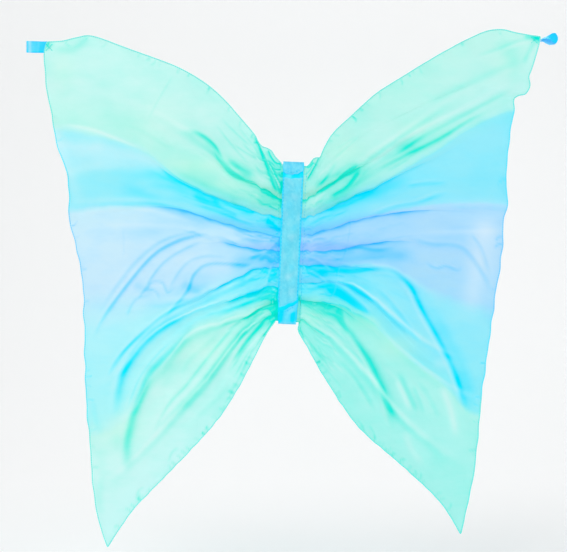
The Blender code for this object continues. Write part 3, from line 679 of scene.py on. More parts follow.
RIGHT = SimpleNamespace(
    side=1, name="right", silk=silk_right, hem=hem_right, thread=thread_blue,
    band_shade=0.06, gather_shade=0.35, low_shade=0.30, low_reach=3.0,
    top=[(21, 95), (25.5, 101.5), (30, 103.5), (34, 103.5), (36.5, 109.5), (40, 117), (50, 133),
         (72, 154), (102, 181), (132, 200), (168, 222), (204, 242), (232, 255), (252, 258),
         (268, 254), (284, 251), (299, 249)],
    outer=[(296, 236), (288, 209), (285, 201), (286, 190), (281, 180), (273, 178), (266, 173),
           (267, 161), (265, 150), (260, 114), (257, 79), (259, 60), (258, 46), (254, 27),
           (253, -8), (245, -60), (238, -107), (228, -181), (222, -248), (215, -296)],
    tip=(203, -349),
    bottom=[(187, -322), (169, -300), (130, -264), (87, -227), (65, -200), (48, -174),
            (32, -148), (19, -124), (8, -105)],
    folds=table("""
9 75 2.2 170 0.065: 17.64,52.8 52.44,74.4 76.44,91.2 107.64,111.6 155.64,145.2 \
    215.64,183.6 286.44,210
10 240 2.2 300 0.119: 17.64,30 46.44,42 66.84,50.88 84.84,61.2 100.44,67.2 143.64,93.6 \
    176.04,112.8 208.44,135.6 230.04,147.6 264.84,164.4
10 190 2 260 0.352: 17.64,8.4 50.04,19.2 89.64,31.2 122.04,37.2 167.64,43.2 227.64,43.2 \
    256.44,40.8
9 170 2 240 0.395: 15.24,-9.6 44.04,-9 76.44,-3.6 116.04,4.8 154.44,10.8 214.44,14.4 \
    255.24,15.6
9 105 2.2 160 0.562: 14.04,-25.2 57.24,-27.6 89.64,-26.4 118.44,-28.8 143.64,-44.4 \
    167.64,-61.2 197.64,-73.2 227.64,-82.8 243.24,-90
9 62 3 190 0.65: 14.04,-48 44.04,-45.6 71.64,-48 95.64,-63.6 122.04,-86.4 156.84,-116.4 \
    191.64,-134.4 234.84,-142.8
9 135 2.4 230 0.724: 11.64,-68.4 30.84,-68.4 56.04,-73.2 82.44,-85.2 104.04,-98.4 \
    122.04,-117.6 156.84,-146.4 182.04,-164.4 203.64,-177.6 227.64,-186
5 40 2.8 200 0.87: 9.24,-85.2 23.64,-96 52.44,-115.2 77.64,-141.6 95.64,-160.8 \
    114.84,-187.2 143.64,-219.6 179.64,-248.4 218.04,-272.4
"""),
    creases=table("""
3.5 1.5 0.5 1.5: 89.64,31.2 122.04,43.2 152.04,49.2 174.84,57.6 194.04,62.4
3.5 1 0.35 1: 136.44,68.4 161.64,72 191.64,73.2
6 2.8 0.72 0.8: 215.64,-212.4 210.84,-198 202.44,-174 192.84,-147.6 177.24,-116.4 \
    158.04,-81.6 142.44,-51.6 122.04,-32.4 100.44,-26.4
6.5 1.2 0.95: 42.84,-49.2 57.24,-54 71.64,-64.8 83.64,-75.6 98.04,-90
4 1.2 0.4: 59.64,-48 78.84,-55.2 100.44,-72 122.04,-92.4 150.84,-118.8
5 1.4 0.3: 98.04,-51.6 117.24,-68.4 141.24,-99.6 160.44,-130.8
3 0.8 0.4 1.5: 11.64,-52.8 26.04,-54 45.24,-49.2 65.64,-45.6 78.84,-45.6
4 0.8 0.5 1.5: 47.64,-30 71.64,-32.4 100.44,-30 119.64,-32.4
5 1.4 0.3: 135.24,8.4 167.64,-1.2 206.04,-6 232.44,-39.6 244.44,-68.4
3 1.2 0.35: 160.44,-22.8 174.84,-30 186.84,-27.6 201.24,-32.4 206.04,-25.2
4 1 0.22: 215.64,13.2 230.04,-8.4 239.64,-39.6
3.2 1.6 0.1 -1: 100.44,99.6 74.04,68.4 47.64,52.8 33.24,43.2
4 1.6 0.5: 86.04,90 66.84,66 42.84,54
3 1.4 0.42 1: 18.84,54 45.24,68.4 66.84,85.2 81.24,97.2
4 1 0.2: 57.24,99.6 42.84,78 30.84,61.2
6 2.2 0.54 0.6: 124.44,-229.2 117.24,-202.8 108.84,-176.4 92.04,-140.4 72.84,-109.2 \
    52.44,-90 30.84,-80.4
7.5 2 0.36 0.4: 129.24,-222 119.64,-195.6 107.64,-162 90.84,-130.8 74.04,-114
3 1.4 0.2 0.3: 11.64,-94.8 39.24,-108 66.84,-124.8 86.04,-142.8 98.04,-171.6
4.4 1.8 0.26 0.3: 102.84,-205.2 88.44,-178.8 71.64,-154.8 50.04,-135.6
7 1.6 0.38: 57.24,-75.6 62.04,-94.8 69.24,-114
6 2.2 0.4 0.3: 153.24,-205.2 140.04,-177.6 128.04,-152.4
6 1.8 0.18 0.3: 179.64,-212.4 165.24,-183.6 148.44,-159.6
7 1.6 -0.3: 179.64,-169.2 191.64,-198 200.04,-236.4
4.5 0.8 0.4: 52.44,-2.4 78.84,-4.8 102.84,-8.4 129.24,-6
4 0.6 0.4 0.5: 90.84,80.4 131.64,102 179.64,126 215.64,147.6 251.64,164.4
3 0.8 0.35 0.2: 18.84,20.4 38.04,30 57.24,36
3 0.8 0.5 0.2: 18.84,-18 33.24,-22.8 47.64,-34.8
2.6 0.8 0.45 0.2: 17.64,-32.4 30.84,-39.6 47.64,-51.6
5 1.4 0.35 0.3: 294.84,243.6 286.44,229.2 279.24,212.4
8 0.6 0.62: 278.04,250.8 290.04,247.2 306.84,246
3 0.6 -0.16: 251.64,230.4 275.64,238.8 299.64,242.4
4 1.4 0.22 0.3: 292.44,246 270.84,241.2 246.84,231.6 215.64,222
1.1 0.5 0.14: 69.24,51.6 71.64,22.8 66.84,-8.4 57.24,-32.4 52.44,-56.4 42.84,-75.6 33.24,-97.2
2.5 0.9 0.22: 78.84,-210 86.04,-218.4 90.84,-231.6
2.5 0.8 0.2: 93.24,-217.2 99.24,-225.6 102.84,-238.8
8 1.8 0.22: 280.44,222 239.64,202.8 197.64,183.6 155.64,162
4.6 2.2 -0.24: 273.24,200.4 242.04,181.2 215.64,165.6 146.04,130.8 102.84,99.6 64.44,60
4.6 1.4 0.26: 275.64,190.8 246.84,174 215.64,157.2 150.84,122.4 107.64,92.4
5 1 -0.22: 126.84,-162 136.44,-183.6 143.64,-202.8
5 0.8 0.22: 146.04,-169.2 155.64,-190.8 160.44,-207.6
6 0.8 -0.16: 136.44,-224.4 146.04,-248.4 160.44,-267.6
"""),
    washes=table("""
14 0.34: 222.84,-202.8 213.24,-169.2 196.44,-130.8 177.24,-94.8 155.64,-61.2
12 0.4: 23.64,34.8 52.44,46.8 86.04,56.4 122.04,68.4 153.24,78
12 0.4: 42.84,-25.2 71.64,-20.4 107.64,-15.6 136.44,-15.6 160.44,-22.8
10 0.5: 26.04,63.6 47.64,75.6 69.24,87.6 88.44,99.6
13 0.3: 122.04,109.2 155.64,121.2 198.84,138
9 0.16: 177.24,127.2 210.84,140.4 244.44,152.4
15 0.14: 256.44,241.2 268.44,212.4 266.04,176.4
12 0.22: 42.84,-54 64.44,-63.6 83.64,-75.6
12 0.22: 45.24,51.6 66.84,61.2 86.04,70.8
5 0.6: 16.44,-27.6 29.64,-33 47.64,-39.6
8 0.5: 42.84,-49.2 62.04,-55.2 81.24,-69.6
4 0.5: 52.44,76.8 66.84,85.8 83.64,97.2
4.6 0.5: 52.44,43.2 68.04,50.4 88.44,57.6
4 0.5: 10.44,-67.2 18.84,-70.8 28.44,-78
3 0.4: 16.44,6 30.84,10.8 47.64,16.8
16 -0.1: 234.84,32.4 244.44,-15.6 239.64,-80.4
26 0.16: 119.64,126 167.64,147.6 208.44,164.4 270.84,195.6
26 0.28: 64.44,63.6 88.44,82.8 122.04,106.8 160.44,128.4
16 0.24: 33.24,39.6 78.84,50.4 131.64,61.2
18 0.12: 54.84,0 83.64,0 112.44,-3.6 160.44,-10.8
16 0.34: 11.64,-30 59.64,-32.4 112.44,-30
26 0.48: 30.84,-54 66.84,-56.4 102.84,-73.2
22 0.42: 14.04,-75.6 57.24,-82.8 107.64,-102
18 0.16: 112.44,-22.8 141.24,-51.6 167.64,-92.4
14 0.14: 59.64,-109.2 86.04,-135.6 107.64,-164.4
16 0.16: 102.84,-164.4 119.64,-188.4 134.04,-212.4
14 0.18: 196.44,-147.6 208.44,-178.8 215.64,-205.2
20 0.18: 246.84,248.4 266.04,229.2 280.44,207.6
12 -0.08: 24.84,68.4 27.24,21.6 26.04,-22.8
24 -0.28: 234.84,44.4 225.24,-22.8 213.24,-99.6
11 -0.1: -5.16,51.6 9.24,13.2 35.64,-22.8
12 0.3: 18.84,-25.2 66.84,-66 117.24,-111.6
11 0.18: 47.64,49.2 74.04,68.4 105.24,94.8
9 0.24: 131.64,106.8 172.44,118.8 213.24,145.2
10 -0.13: 167.64,-145.2 194.04,-142.8 210.84,-135.6
15 0.14: 162.84,-226.8 174.84,-250.8 182.04,-277.2
"""),
    edges=table("""
1 1.7 14 0.95 2.2: 46.44,127.2 36.84,112.8 32.64,99.6 26.04,86.4 18.24,73.2
1 0.9 3 0.95 1.6: 15.84,94.2 21.24,90.6 25.44,94.8 26.64,101.4
1 0.6 3 0.5 1.1: 17.64,80.4 23.64,87.6 28.44,97.2
1 0.6 3 0.25 1: 16.44,52.2 33.24,61.2 46.44,70.8 59.64,84
1 0.9 4 0.55 1.2: 6.84,-84 12.84,-92.4 26.04,-100.8 42.84,-111.6
1 0.9 5 0.55 1.2: 5.64,-85.2 10.44,-99.6 16.44,-116.4
-1 0.7 4 0.5 2.4: 11.64,-68.4 27.24,-74.4 38.04,-70.8 50.04,-73.2
"""),
    dye_runs=[(220.44, -188.4, 26.4, 36, -0.046)],
    warm=[(89.64, -94.8, 24, 12, 0.25), (129.24, -122.4, 26.4, 14.4, 0.30),
          (26.04, -90, 16.8, 12, 0.25), (65.64, 109.2, 28.8, 16.8, 0.25),
          (257.64, 219.6, 19.2, 24, 0.12), (155.64, 138, 36, 14.4, 0.15)])

EDGE_POINTS = 400
SHEET_ROWS = 190
PER_FOLD = 38  # points down the sheet for each pleat
HEADING = (6.2, 4.6, 3.0, 1.4)  # rows of silk inside the band, in from the first outer row


def patches(x, z, rows):
    """The sum of soft ovals: x, z, half width, half height and strength in each row."""
    return sum(strength * np.exp(-((x - mid_x) / half_x) ** 2 - ((z - mid_z) / half_z) ** 2)
               for mid_x, mid_z, half_x, half_z, strength in rows)


class Wing:
    """One silk wing: a flat patch between four edges, then pleats and creases laid on it.

    away runs from the band (0) to the outer edge (1), and down from the top edge to the bottom."""

    def __init__(self, design):
        self.design, self.side = design, design.side
        root_across = self.side * (HINGE_X + 0.5)
        high, low = [tuple(lean(root_across, 0, along)[[0, 2]] / MM)
                     for along in (ROOT_HALF, -ROOT_HALF)]
        top, outer, tip, bottom = design.top, design.outer, design.tip, design.bottom
        everything = np.array([high, low, *top, *outer, tip, *bottom])
        drawn = np.array([everything.min(0), everything.max(0)])
        box = np.array(span(design.name + "_wing_silk"))[:, [0, 2]]

        def fitted(points):
            points = np.array(points)
            return np.column_stack([np.interp(points[:, q], drawn[:, q], box[:, q])
                                    for q in (0, 1)])

        def edge(*points):
            return spline(fitted(points), EDGE_POINTS)

        self.corner = fitted([top[-1]])[0]
        self.edges = {
            "top": edge(high, *top),
            "outer": self.wobble(edge(top[-1], *outer, tip), 0.45),
            "bottom": self.wobble(edge(low, *bottom[::-1], tip), 0.2),
            "root": edge(high, low),
        }

    def wobble(self, line, size):
        k = np.linspace(0, 1, EDGE_POINTS)
        way = tangents(line)
        wave = np.sin(k * 97 + self.side) + 0.7 * np.sin(k * 151 + 2) + 0.6 * np.sin(k * 61 + 1)
        wave = wave * np.sin(np.pi * k) ** 0.6
        return line + np.column_stack([way[:, 1], -way[:, 0]]) * (size * wave)[:, None]

    def edge(self, which, k):
        k = np.clip(k, 0, 1) * (EDGE_POINTS - 1)
        line = self.edges[which]
        index = np.arange(EDGE_POINTS)
        return np.stack([np.interp(k, index, line[:, 0]), np.interp(k, index, line[:, 1])], -1)

    def flat(self, away, down):
        """x and z in mm, blended from the four edges."""
        away, down = np.broadcast_arrays(np.asarray(away, float), down)
        far, low = away[..., None], down[..., None]
        near, high = 1 - far, 1 - low
        start, end = 0 * away, 0 * away + 1
        edge = self.edge
        return (high * edge("top", away) + low * edge("bottom", away)
                + near * edge("root", down) + far * edge("outer", down)
                - near * high * edge("top", start) - far * high * edge("top", end)
                - near * low * edge("bottom", start) - far * low * edge("bottom", end))

    def locate(self, points):
        """(away, down) of points given in mm, by Newton steps from the nearest grid point."""
        aways, downs = np.meshgrid(np.linspace(0, 1, 120), np.linspace(0, 1, 160), indexing="ij")
        known = self.flat(aways, downs)
        found = []
        for point in points:
            nearest = np.argmin(((known - point) ** 2).sum(-1))
            away, down = aways.flat[nearest], downs.flat[nearest]
            for _ in range(12):
                less, more = max(away - 1e-3, 0), min(away + 1e-3, 1)
                by_away = (self.flat(more, down) - self.flat(less, down)) / (more - less)
                less, more = max(down - 1e-3, 0), min(down + 1e-3, 1)
                by_down = (self.flat(away, more) - self.flat(away, less)) / (more - less)
                slopes = np.column_stack([by_away, by_down])
                # the patch folds onto itself here, so no step can be worked out
                if abs(np.linalg.det(slopes)) < 1e-6:
                    break
                step = np.linalg.solve(slopes, point - self.flat(away, down))
                away = float(np.clip(away + 0.7 * step[0], 0, 1))
                down = float(np.clip(down + 0.7 * step[1], 0, 1))
            found.append((away, down))
        return np.array(found)

    def fold_line(self, points, number):
        """down along each row for a pleat's lower edge, with a little wander."""
        placed = self.locate(spline(points, 40))
        order = np.argsort(placed[:, 0])
        line = np.interp(self.aways, placed[order, 0], placed[order, 1])
        line = np.convolve(np.pad(line, 3, mode="edge"), np.ones(7) / 7, "valid")
        reach = self.reach
        wander = (0.55 * np.sin(reach / 4.7 + 3 * number) + 0.5 * np.sin(reach / 8.3 + 5 * number)
                  + 0.3 * np.sin(reach / 2.6 + number))
        wander = wander * smooth(reach, 1, 9) * (1 - smooth(reach, 60, 150))
        return line + wander / self.length

    def lay_pleats(self):
        """Rows away from the band, with the cloth doubled back under each pleat's edge."""
        self.aways = np.linspace(0, 1, SHEET_ROWS) ** 1.35
        self.count = count = len(self.design.folds)
        self.pleat = pleat = np.linspace(0, count + 1, (count + 1) * PER_FOLD + 1)
        self.length = np.array([
            np.linalg.norm(np.diff(self.flat(away, np.linspace(0, 1, 60)), axis=0), axis=1).sum()
            for away in self.aways])
        middle = self.flat(self.aways, 0.5)
        self.reach = np.abs(across_band(middle[:, 0], middle[:, 1])) - HINGE_X
        zeros, plain = np.zeros(SHEET_ROWS), np.full(SHEET_ROWS, 0.3)
        self.tips, overlap, depths, dyes = [], [zeros], [plain], [0.0]
        for number, (points, over, over_reach, depth, ridge_reach, dye) in enumerate(
                self.design.folds):
            self.tips.append(self.fold_line(points, number))
            overlap.append(over * (1 - smooth(self.reach, over_reach * 0.25, over_reach * 1.25)))
            depths.append((0.75 + (depth - 0.75) * smooth(self.reach, 0, 28))
                          * (1 - smooth(self.reach, ridge_reach * 0.5, ridge_reach * 1.2)))
            dyes.append(dye)
        knots = [zeros, *self.tips, np.ones(SHEET_ROWS)]
        for k in range(2, count + 1):
            knots[k] = np.maximum(knots[k], knots[k - 1] + 0.012)
        self.knots = knots = np.array(knots)
        self.overlap = overlap = np.array([*overlap, zeros])
        self.depths = depths = np.array([*depths, plain])
        index = np.arange(count + 2)
        self.dye = np.interp(pleat, index, [*dyes, 1.0])

        kernel = np.hanning(PER_FOLD // 2 + 2)[1:-1]
        kernel /= kernel.sum()
        pad = len(kernel) // 2
        ease = smooth(np.minimum(pleat, count + 1 - pleat), 0, 0.5)
        down = np.empty((SHEET_ROWS, len(pleat)))
        doubled, ridge = np.empty_like(down), np.empty_like(down)
        for i in range(SHEET_ROWS):
            base = np.interp(pleat, index, knots[:, i] - overlap[:, i] / self.length[i])
            padded = np.pad(base, pad, mode="reflect", reflect_type="odd")
            soft = np.convolve(padded, kernel, "same")[pad:-pad]
            down[i] = base + (soft - base) * ease
            doubled[i] = np.interp(pleat, index, overlap[:, i])
            ridge[i] = np.interp(pleat, index, depths[:, i])
        turn = 2 * np.pi * pleat
        ends = smooth(pleat, 0, 0.6) * smooth(count + 1 - pleat, 0, 0.6)
        down = down + doubled / self.length[:, None] * np.cos(turn) * ends
        self.down = np.clip(down, 0, 1)
        flat = self.flat(self.aways[:, None], self.down)
        self.x, self.z = flat[..., 0], flat[..., 1]
        self.along = along_band(self.x, self.z)
        self.out = self.side * across_band(self.x, self.z) - HINGE_X
        self.y = -ridge * np.cos(turn + 0.45) * ends

    def shade_pleats(self):
        """Painted shade under each pleat's edge and by the band, and a painted lighter band just
        above edges.
        """
        pleat, out, side, design = self.pleat, self.out, self.side, self.design
        painted_shade, lift, less_shade_above_edges = [np.zeros_like(self.down) for _ in range(3)]
        for k in range(1, self.count + 1):
            crisp = np.clip(self.overlap[k] / 5.0, 0, 1)[:, None]
            below = (self.down - self.tips[k - 1][:, None]) * self.length[:, None]
            under = (pleat > k + 0.2)[None] & (pleat < k + 1.25)[None]
            below_edge = np.clip(below, 0, None)
            wedge = 2.4 + 2.0 * np.sin(out / 7.1 + 2.3 * k) * np.sin(out / 17.0 + 1.7 * k) \
                + 1.6 * smooth(out, 10, 60)
            shade = np.where(below > -1,
                             0.86 * np.exp(-(below_edge / np.clip(wedge, 0.8, None)) ** 1.8)
                             + 0.30 * np.exp(-below_edge / 9), 1.0)
            patchy = 0.8 + 0.2 * np.sin(out / 7.0 + 2.1 * k) * np.sin(out / 17.0 + k)
            painted_shade += 1.25 * under * crisp * shade * patchy
            painted_shade += 0.12 * bell(pleat, k, 0.05)[None] * crisp
            upper = (pleat > k - 0.75)[None] & (pleat < k + 0.03)[None] & (below < 0)
            less_shade_above_edges += upper * crisp * bell(np.clip(-below, 0, None), 2.5, 4.0)
            # further out the pleat opens into a soft ridge, with painted shade below its crest and a
            # painted highlight on it
            soft = np.clip(self.depths[k] / 2.5, 0, 1)[:, None] * (1 - crisp)
            painted_shade += 0.30 * bell(pleat, k + 0.10, 0.09)[None] * soft
            lift += 0.26 * bell(pleat, k - 0.03, 0.06)[None] * soft
        self.near_band = near_band = np.clip(out, 0, None)
        # painted shade close to the band, and more in the gathers along it
        painted_shade += design.band_shade * np.exp(-near_band / 22) + 0.20 * np.exp(-near_band / 75)
        ragged = 0.5 + 0.5 * np.sin(self.along / 2.1) * np.sin(self.along / 5.3 + side) \
            + 0.4 * np.sin(self.along / 11 + 2)
        painted_shade += design.gather_shade * bell(near_band, 0, 2.2) * np.clip(ragged, 0, 1)
        # the corner at the finger loop is lined, several layers of cloth: it lets less light through,
        # and painted shade makes its colour stronger
        self.from_corner = np.hypot(self.x - self.corner[0], self.z - self.corner[1])
        self.lining = 1 - smooth(self.from_corner, 11, 17)
        painted_shade += 0.42 * (1 - smooth(self.from_corner, 5, 13))
        self.painted_shade, self.lift, self.less_shade_above_edges = painted_shade, lift, less_shade_above_edges

    def between_pleats(self, pleat, share, ways):
        """A line at a share of the way from one pleat to the next."""
        aways = np.interp(ways, np.clip(self.reach, 0, None), self.aways)
        share = np.clip(share, 0.02, 0.98)
        low = np.interp(aways, self.aways, self.knots[pleat])
        high = np.interp(aways, self.aways, self.knots[pleat + 1])
        return self.flat(aways, low + (high - low) * share)

    def random_creases(self):
        """Gathers out from the band, and short puckers along the free edges."""
        rng = np.random.default_rng(17 + self.side)
        found = []
        for _ in range(150):
            pleat = rng.integers(0, self.count + 1)
            share = rng.uniform(0.08, 0.92)
            begin = rng.exponential(20) if rng.uniform() < 0.8 else rng.uniform(10, 110)
            if pleat in (0, self.count):
                begin = min(begin, 30)
            size = rng.uniform(10, 34) + 0.22 * begin
            shares = share + rng.uniform(-0.22, 0.22) * np.linspace(0, 1, 12)
            line = self.between_pleats(pleat, shares, np.linspace(begin, begin + size, 12))
            strong = math.exp(-begin / 55)
            width = rng.uniform(0.8, 1.6) + 0.016 * begin
            height = (0.25 + 0.6 * strong) * rng.uniform(0.5, 1.2)
            strength = rng.uniform(-0.16, 0.36) * (0.30 + 0.70 * strong)
            found.append((spline(line, 30), width, height, strength, rng.uniform(-0.4, 1.0)))
        for _ in range(46):
            pleat = rng.integers(0, self.count + 1)
            share = rng.uniform(0.04, 0.96)
            ways = np.linspace(0.2, rng.uniform(4, 15), 8)
            shares = share + rng.uniform(-0.25, 0.25) * np.linspace(0, 1, 8) ** 1.5
            line = spline(self.between_pleats(pleat, shares, ways), 20)
            found.append((line, rng.uniform(0.6, 1.3), rng.uniform(0.5, 1.1),
                          rng.uniform(0.05, 0.45), rng.uniform(-0.3, 0.3)))
        for which, count, first in (("bottom", 34, 0.10), ("top", 16, 0.12), ("outer", 14, 0.10)):
            for _ in range(count):
                k = rng.uniform(first, 0.94)
                here, ahead = self.edge(which, np.array(k)), self.edge(which, np.array(k + 0.01))
                way = (ahead - here) / np.linalg.norm(ahead - here)
                inward = np.array([-way[1], way[0]])
                inward *= np.sign(inward @ (self.flat(0.5, 0.5) - here))
                size = rng.uniform(4.5, 11)
                slant = way * size * rng.uniform(-0.6, 0.6)
                line = [here - inward, here + inward * size * 0.5, here + inward * size + slant]
                found.append((spline(line, 16), rng.uniform(1.0, 2.2), rng.uniform(0.4, 1.0),
                              rng.uniform(0.14, 0.40), 0.0))
        return found

    def near_line(self, path, margin, end_width):
        """Sheet points near a line: which, place along it 0-1, signed distance, and end fade."""
        inside = (self.flat_points > path.min(0) - margin) \
            & (self.flat_points < path.max(0) + margin)
        near = np.where(inside.all(1))[0]
        squares = ((self.flat_points[near][:, None] - path[None]) ** 2).sum(-1)
        k = squares.argmin(1)
        last = len(path) - 1
        way = tangents(path)[k]
        gap = self.flat_points[near] - path[k]
        signed = (gap[:, 0] * way[:, 1] - gap[:, 1] * way[:, 0]) * -self.side
        distance = np.sqrt(squares[np.arange(len(near)), k])
        end = np.where((k == 0) | (k == last), bell(distance, 0, end_width), 1)
        return near, k / last, signed, end

    def press_creases(self):
        """Height, painted shade and painted highlight of every crease and wash."""
        design = self.design
        lines = [(spline(row[0], 50), *(*row, 0.0)[1:5]) for row in design.creases]
        lines += [(spline(points, 50), width, 0.0, strength, 0.0)
                  for points, width, strength in design.washes]
        lines += self.random_creases()
        rise, shade, crest_highlight = np.zeros((3, len(self.flat_points)))
        for path, width, height, strength, offset in lines:
            near, place, signed, end = self.near_line(path, 4 * width, width)
            fade = smooth(place, 0, 0.22) * smooth(1 - place, 0, 0.3) * end
            rise[near] += -0.6 * height * fade * bell(signed, 0, width)
            shade[near] += 1.15 * strength * fade * bell(signed, -offset, 0.55 * width + 0.6)
            # a painted highlight beside each raised crease
            if height > 0:
                crest_highlight[near] += 0.20 * max(strength, 0) * fade \
                    * bell(signed, 0.75 * width + 0.2, 0.35 * width + 0.5)
        return [values.reshape(self.down.shape) for values in (rise, shade, crest_highlight)]

    def lay_edges(self):
        """Height of the steps where cloth lies over cloth, and the painted shade on the cloth
        beneath.
        """
        rise, shade = np.zeros((2, len(self.flat_points)))
        for points, under, height, raised, strength, spread in self.design.edges:
            path = spline(points, 60)
            near, place, signed, end = self.near_line(path, 3 * raised, 1.5)
            signed = signed * under
            fade = smooth(place, 0, 0.12) * smooth(1 - place, 0, 0.1) * end
            over = np.where(signed < 0, np.exp(np.clip(signed, None, 0) / raised), 0)
            falling = np.exp(-np.clip(signed, 0, None) / spread)
            rise[near] -= height * fade * over * (1 - smooth(signed, -1.9, 0.7))
            rise[near] += 0.35 * height * fade * smooth(signed, -1.0, 1.0) * falling
            shade[near] += strength * fade * smooth(signed, -1.3, 0.5) * falling
        return rise.reshape(self.down.shape), shade.reshape(self.down.shape)

    def build(self):
        """Makes the sheet; returns it, its points outside the band, and the dye down it."""
        self.lay_pleats()
        self.shade_pleats()
        x, z, out, side, design = self.x, self.z, self.out, self.side, self.design
        self.flat_points = np.stack([x, z], -1).reshape(-1, 2)
        rise, shade, crest_highlight = self.press_creases()
        step_rise, step_shade = self.lay_edges()
        # painted highlight and painted shade from the pleats, creases and edges, with less shade just
        # above pleat edges and more beside the band's lower end
        lift = self.lift + crest_highlight + 0.8 * np.clip(-shade, 0, None)
        painted_shade = self.painted_shade + shade * smooth(out, -2, 4) + step_shade
        painted_shade *= 1 - 0.52 * np.clip(self.less_shade_above_edges, 0, 1)
        painted_shade += design.low_shade * bell(self.near_band, 0, design.low_reach) \
            * smooth(-self.along, 52, 66)

        # slow undulation of limp cloth, and flutter along the free edges
        grow = smooth(out, 2, 45)
        still = 1 - np.exp(-self.from_corner**2 / 45**2)
        slow = (2.0 * np.sin(x / 31 + z / 47 + 0.6 * side)
                + 1.4 * np.sin(z / 23 - x / 58 + 1.1) + 0.9 * np.sin(x / 17 + z / 13))
        pleat, last = self.pleat, self.count + 1
        from_edge = np.minimum(
            np.minimum(pleat, last - pleat)[None] / last * self.length[:, None],
            (1 - self.aways)[:, None] * 280)
        rim = np.exp(-from_edge / 9)
        y = self.y + rise * smooth(out, 0, 14) + step_rise * smooth(out, 0.5, 5)
        y = y + slow * grow * still * 0.8
        y = y + rim * still * 1.3 * np.sin(x / 6.3 + z / 7.1 + side) * grow
        # painted shade that follows the flutter
        painted_shade += 0.10 * np.sin(x / 9 + z / 14) * rim * grow
        limit = 0.85 + 7.0 * smooth(out, 1.2, 9)  # the band holds the cloth flat
        y = HINGE_Y + np.clip(y, -limit, limit)

        body = np.stack([x, y, z], -1)
        inward = side * np.array([-COS_LEAN, 0, SIN_LEAN])
        heading = np.array([body[0] + inward * distance for distance in HEADING])
        points = np.concatenate([heading, body]) * MM
        dye = self.dye[None] + np.zeros((SHEET_ROWS, 1)) + patches(x, z, design.dye_runs)

        def with_heading(values):
            return np.concatenate([np.repeat(values[:1], len(HEADING), 0), values])

        attributes = {"dye": dye, "painted_shade": np.clip(painted_shade, 0, 1), "lift": np.clip(lift, 0, 0.45),
                      "lining": self.lining, "warm": np.clip(patches(x, z, design.warm), 0, 0.7)}
        obj = grid(design.name + "_wing_silk_sheet", points, design.silk,
                   {key: with_heading(values) for key, values in attributes.items()})
        return obj, points[len(HEADING):], self.dye


def rolled_hem(design, points, dye):
    """A cord wound with thread, along the sheet's top, outer and lower edges."""
    top, outer, bottom = points[:, 0], points[-1, 1:], points[::-1, -1][1:]
    rim = np.concatenate([top, outer, bottom])
    rim_dye = np.concatenate([np.full(len(top), dye[0]), dye[1:], np.full(len(bottom), dye[-1])])
    run = run_length(rim)
    rows, sides = int(run[-1] / (0.9 * MM)), 8
    wanted = np.linspace(run[0] + 1.5 * MM, run[-1] - 1.5 * MM, rows)
    path = at_run(rim, run, wanted)
    for _ in range(3):
        path[1:-1] = (path[:-2] + 2 * path[1:-1] + path[2:]) / 4
    wound = 0.5 + 0.5 * np.sin(np.arange(rows) * 2 * np.pi / 3.0)

    way = tangents(path)
    across = np.cross(way, [0, 1, 0])
    along_depth = np.linalg.norm(across, axis=1) < 1e-3
    across[along_depth] = np.cross(way[along_depth], [1, 0, 0])
    across /= np.linalg.norm(across, axis=1)[:, None]
    radius = (0.62 + 0.10 * wound) * MM
    verts = tube_verts(path, across, np.cross(way, across), radius, sides)
    attributes = {}
    for key, values in (("dye", np.interp(wanted, run, rim_dye)), ("wound", wound)):
        values = np.repeat(values, sides)
        attributes[key] = np.concatenate([values, values[:1], values[-1:]])
    return make(design.name + "_rolled_hem_cord", verts, tube_faces(rows, sides), design.hem,
                attributes)


def build_wing(design):
    side, name = design.side, design.name
    move = ("band", name + "_wing", tuple(lean(side * (HALF_WIDE - 1.0), HINGE_Y, 0)),
            tuple(lean(side * (HALF_WIDE + 13.0), HINGE_Y, 0)))
    sheet, points, dye = Wing(design).build()
    register(sheet, "dyed_silk", name + "_wing_silk", name + "_pleat_heading", blend=move)
    hem = rolled_hem(design, points, dye)
    register(hem, "rolled_hem", name + "_rolled_hem", blend=move)
    # the stitches that hold the pleats, just outside the band
    along = np.linspace(-90, 88, 160)
    path = lean(side * (HINGE_X + 2.4 + 0.5 * np.sin(along / 6)), HINGE_Y - 1.15, along)
    row = stitches(name + "_pleat_stitches", path, (0, -1, 0), design.thread,
                   length=2.2, gap=1.6, radius=0.2, seed=5 + side)
    register(row, "sewing_thread", name + "_pleat_stitch", blend=move)


build_wing(LEFT)
build_wing(RIGHT)


# ---------------------------------------------------------------- the band
def ribbon_width(along):
    """Half the ribbon's width: it is drawn in a little at the lower end."""
    return HALF_WIDE - 0.25 - 1.6 * smooth(-along, BAND_HALF - 34, BAND_HALF)


def ribbon_edge(along):
    return 0.22 * np.sin(along / 2.9) + 0.16 * np.sin(along / 7.3 + 1)


RIBBON_SHARES = np.linspace(-1, 1, 41)  # across a ribbon, as a share of its half width


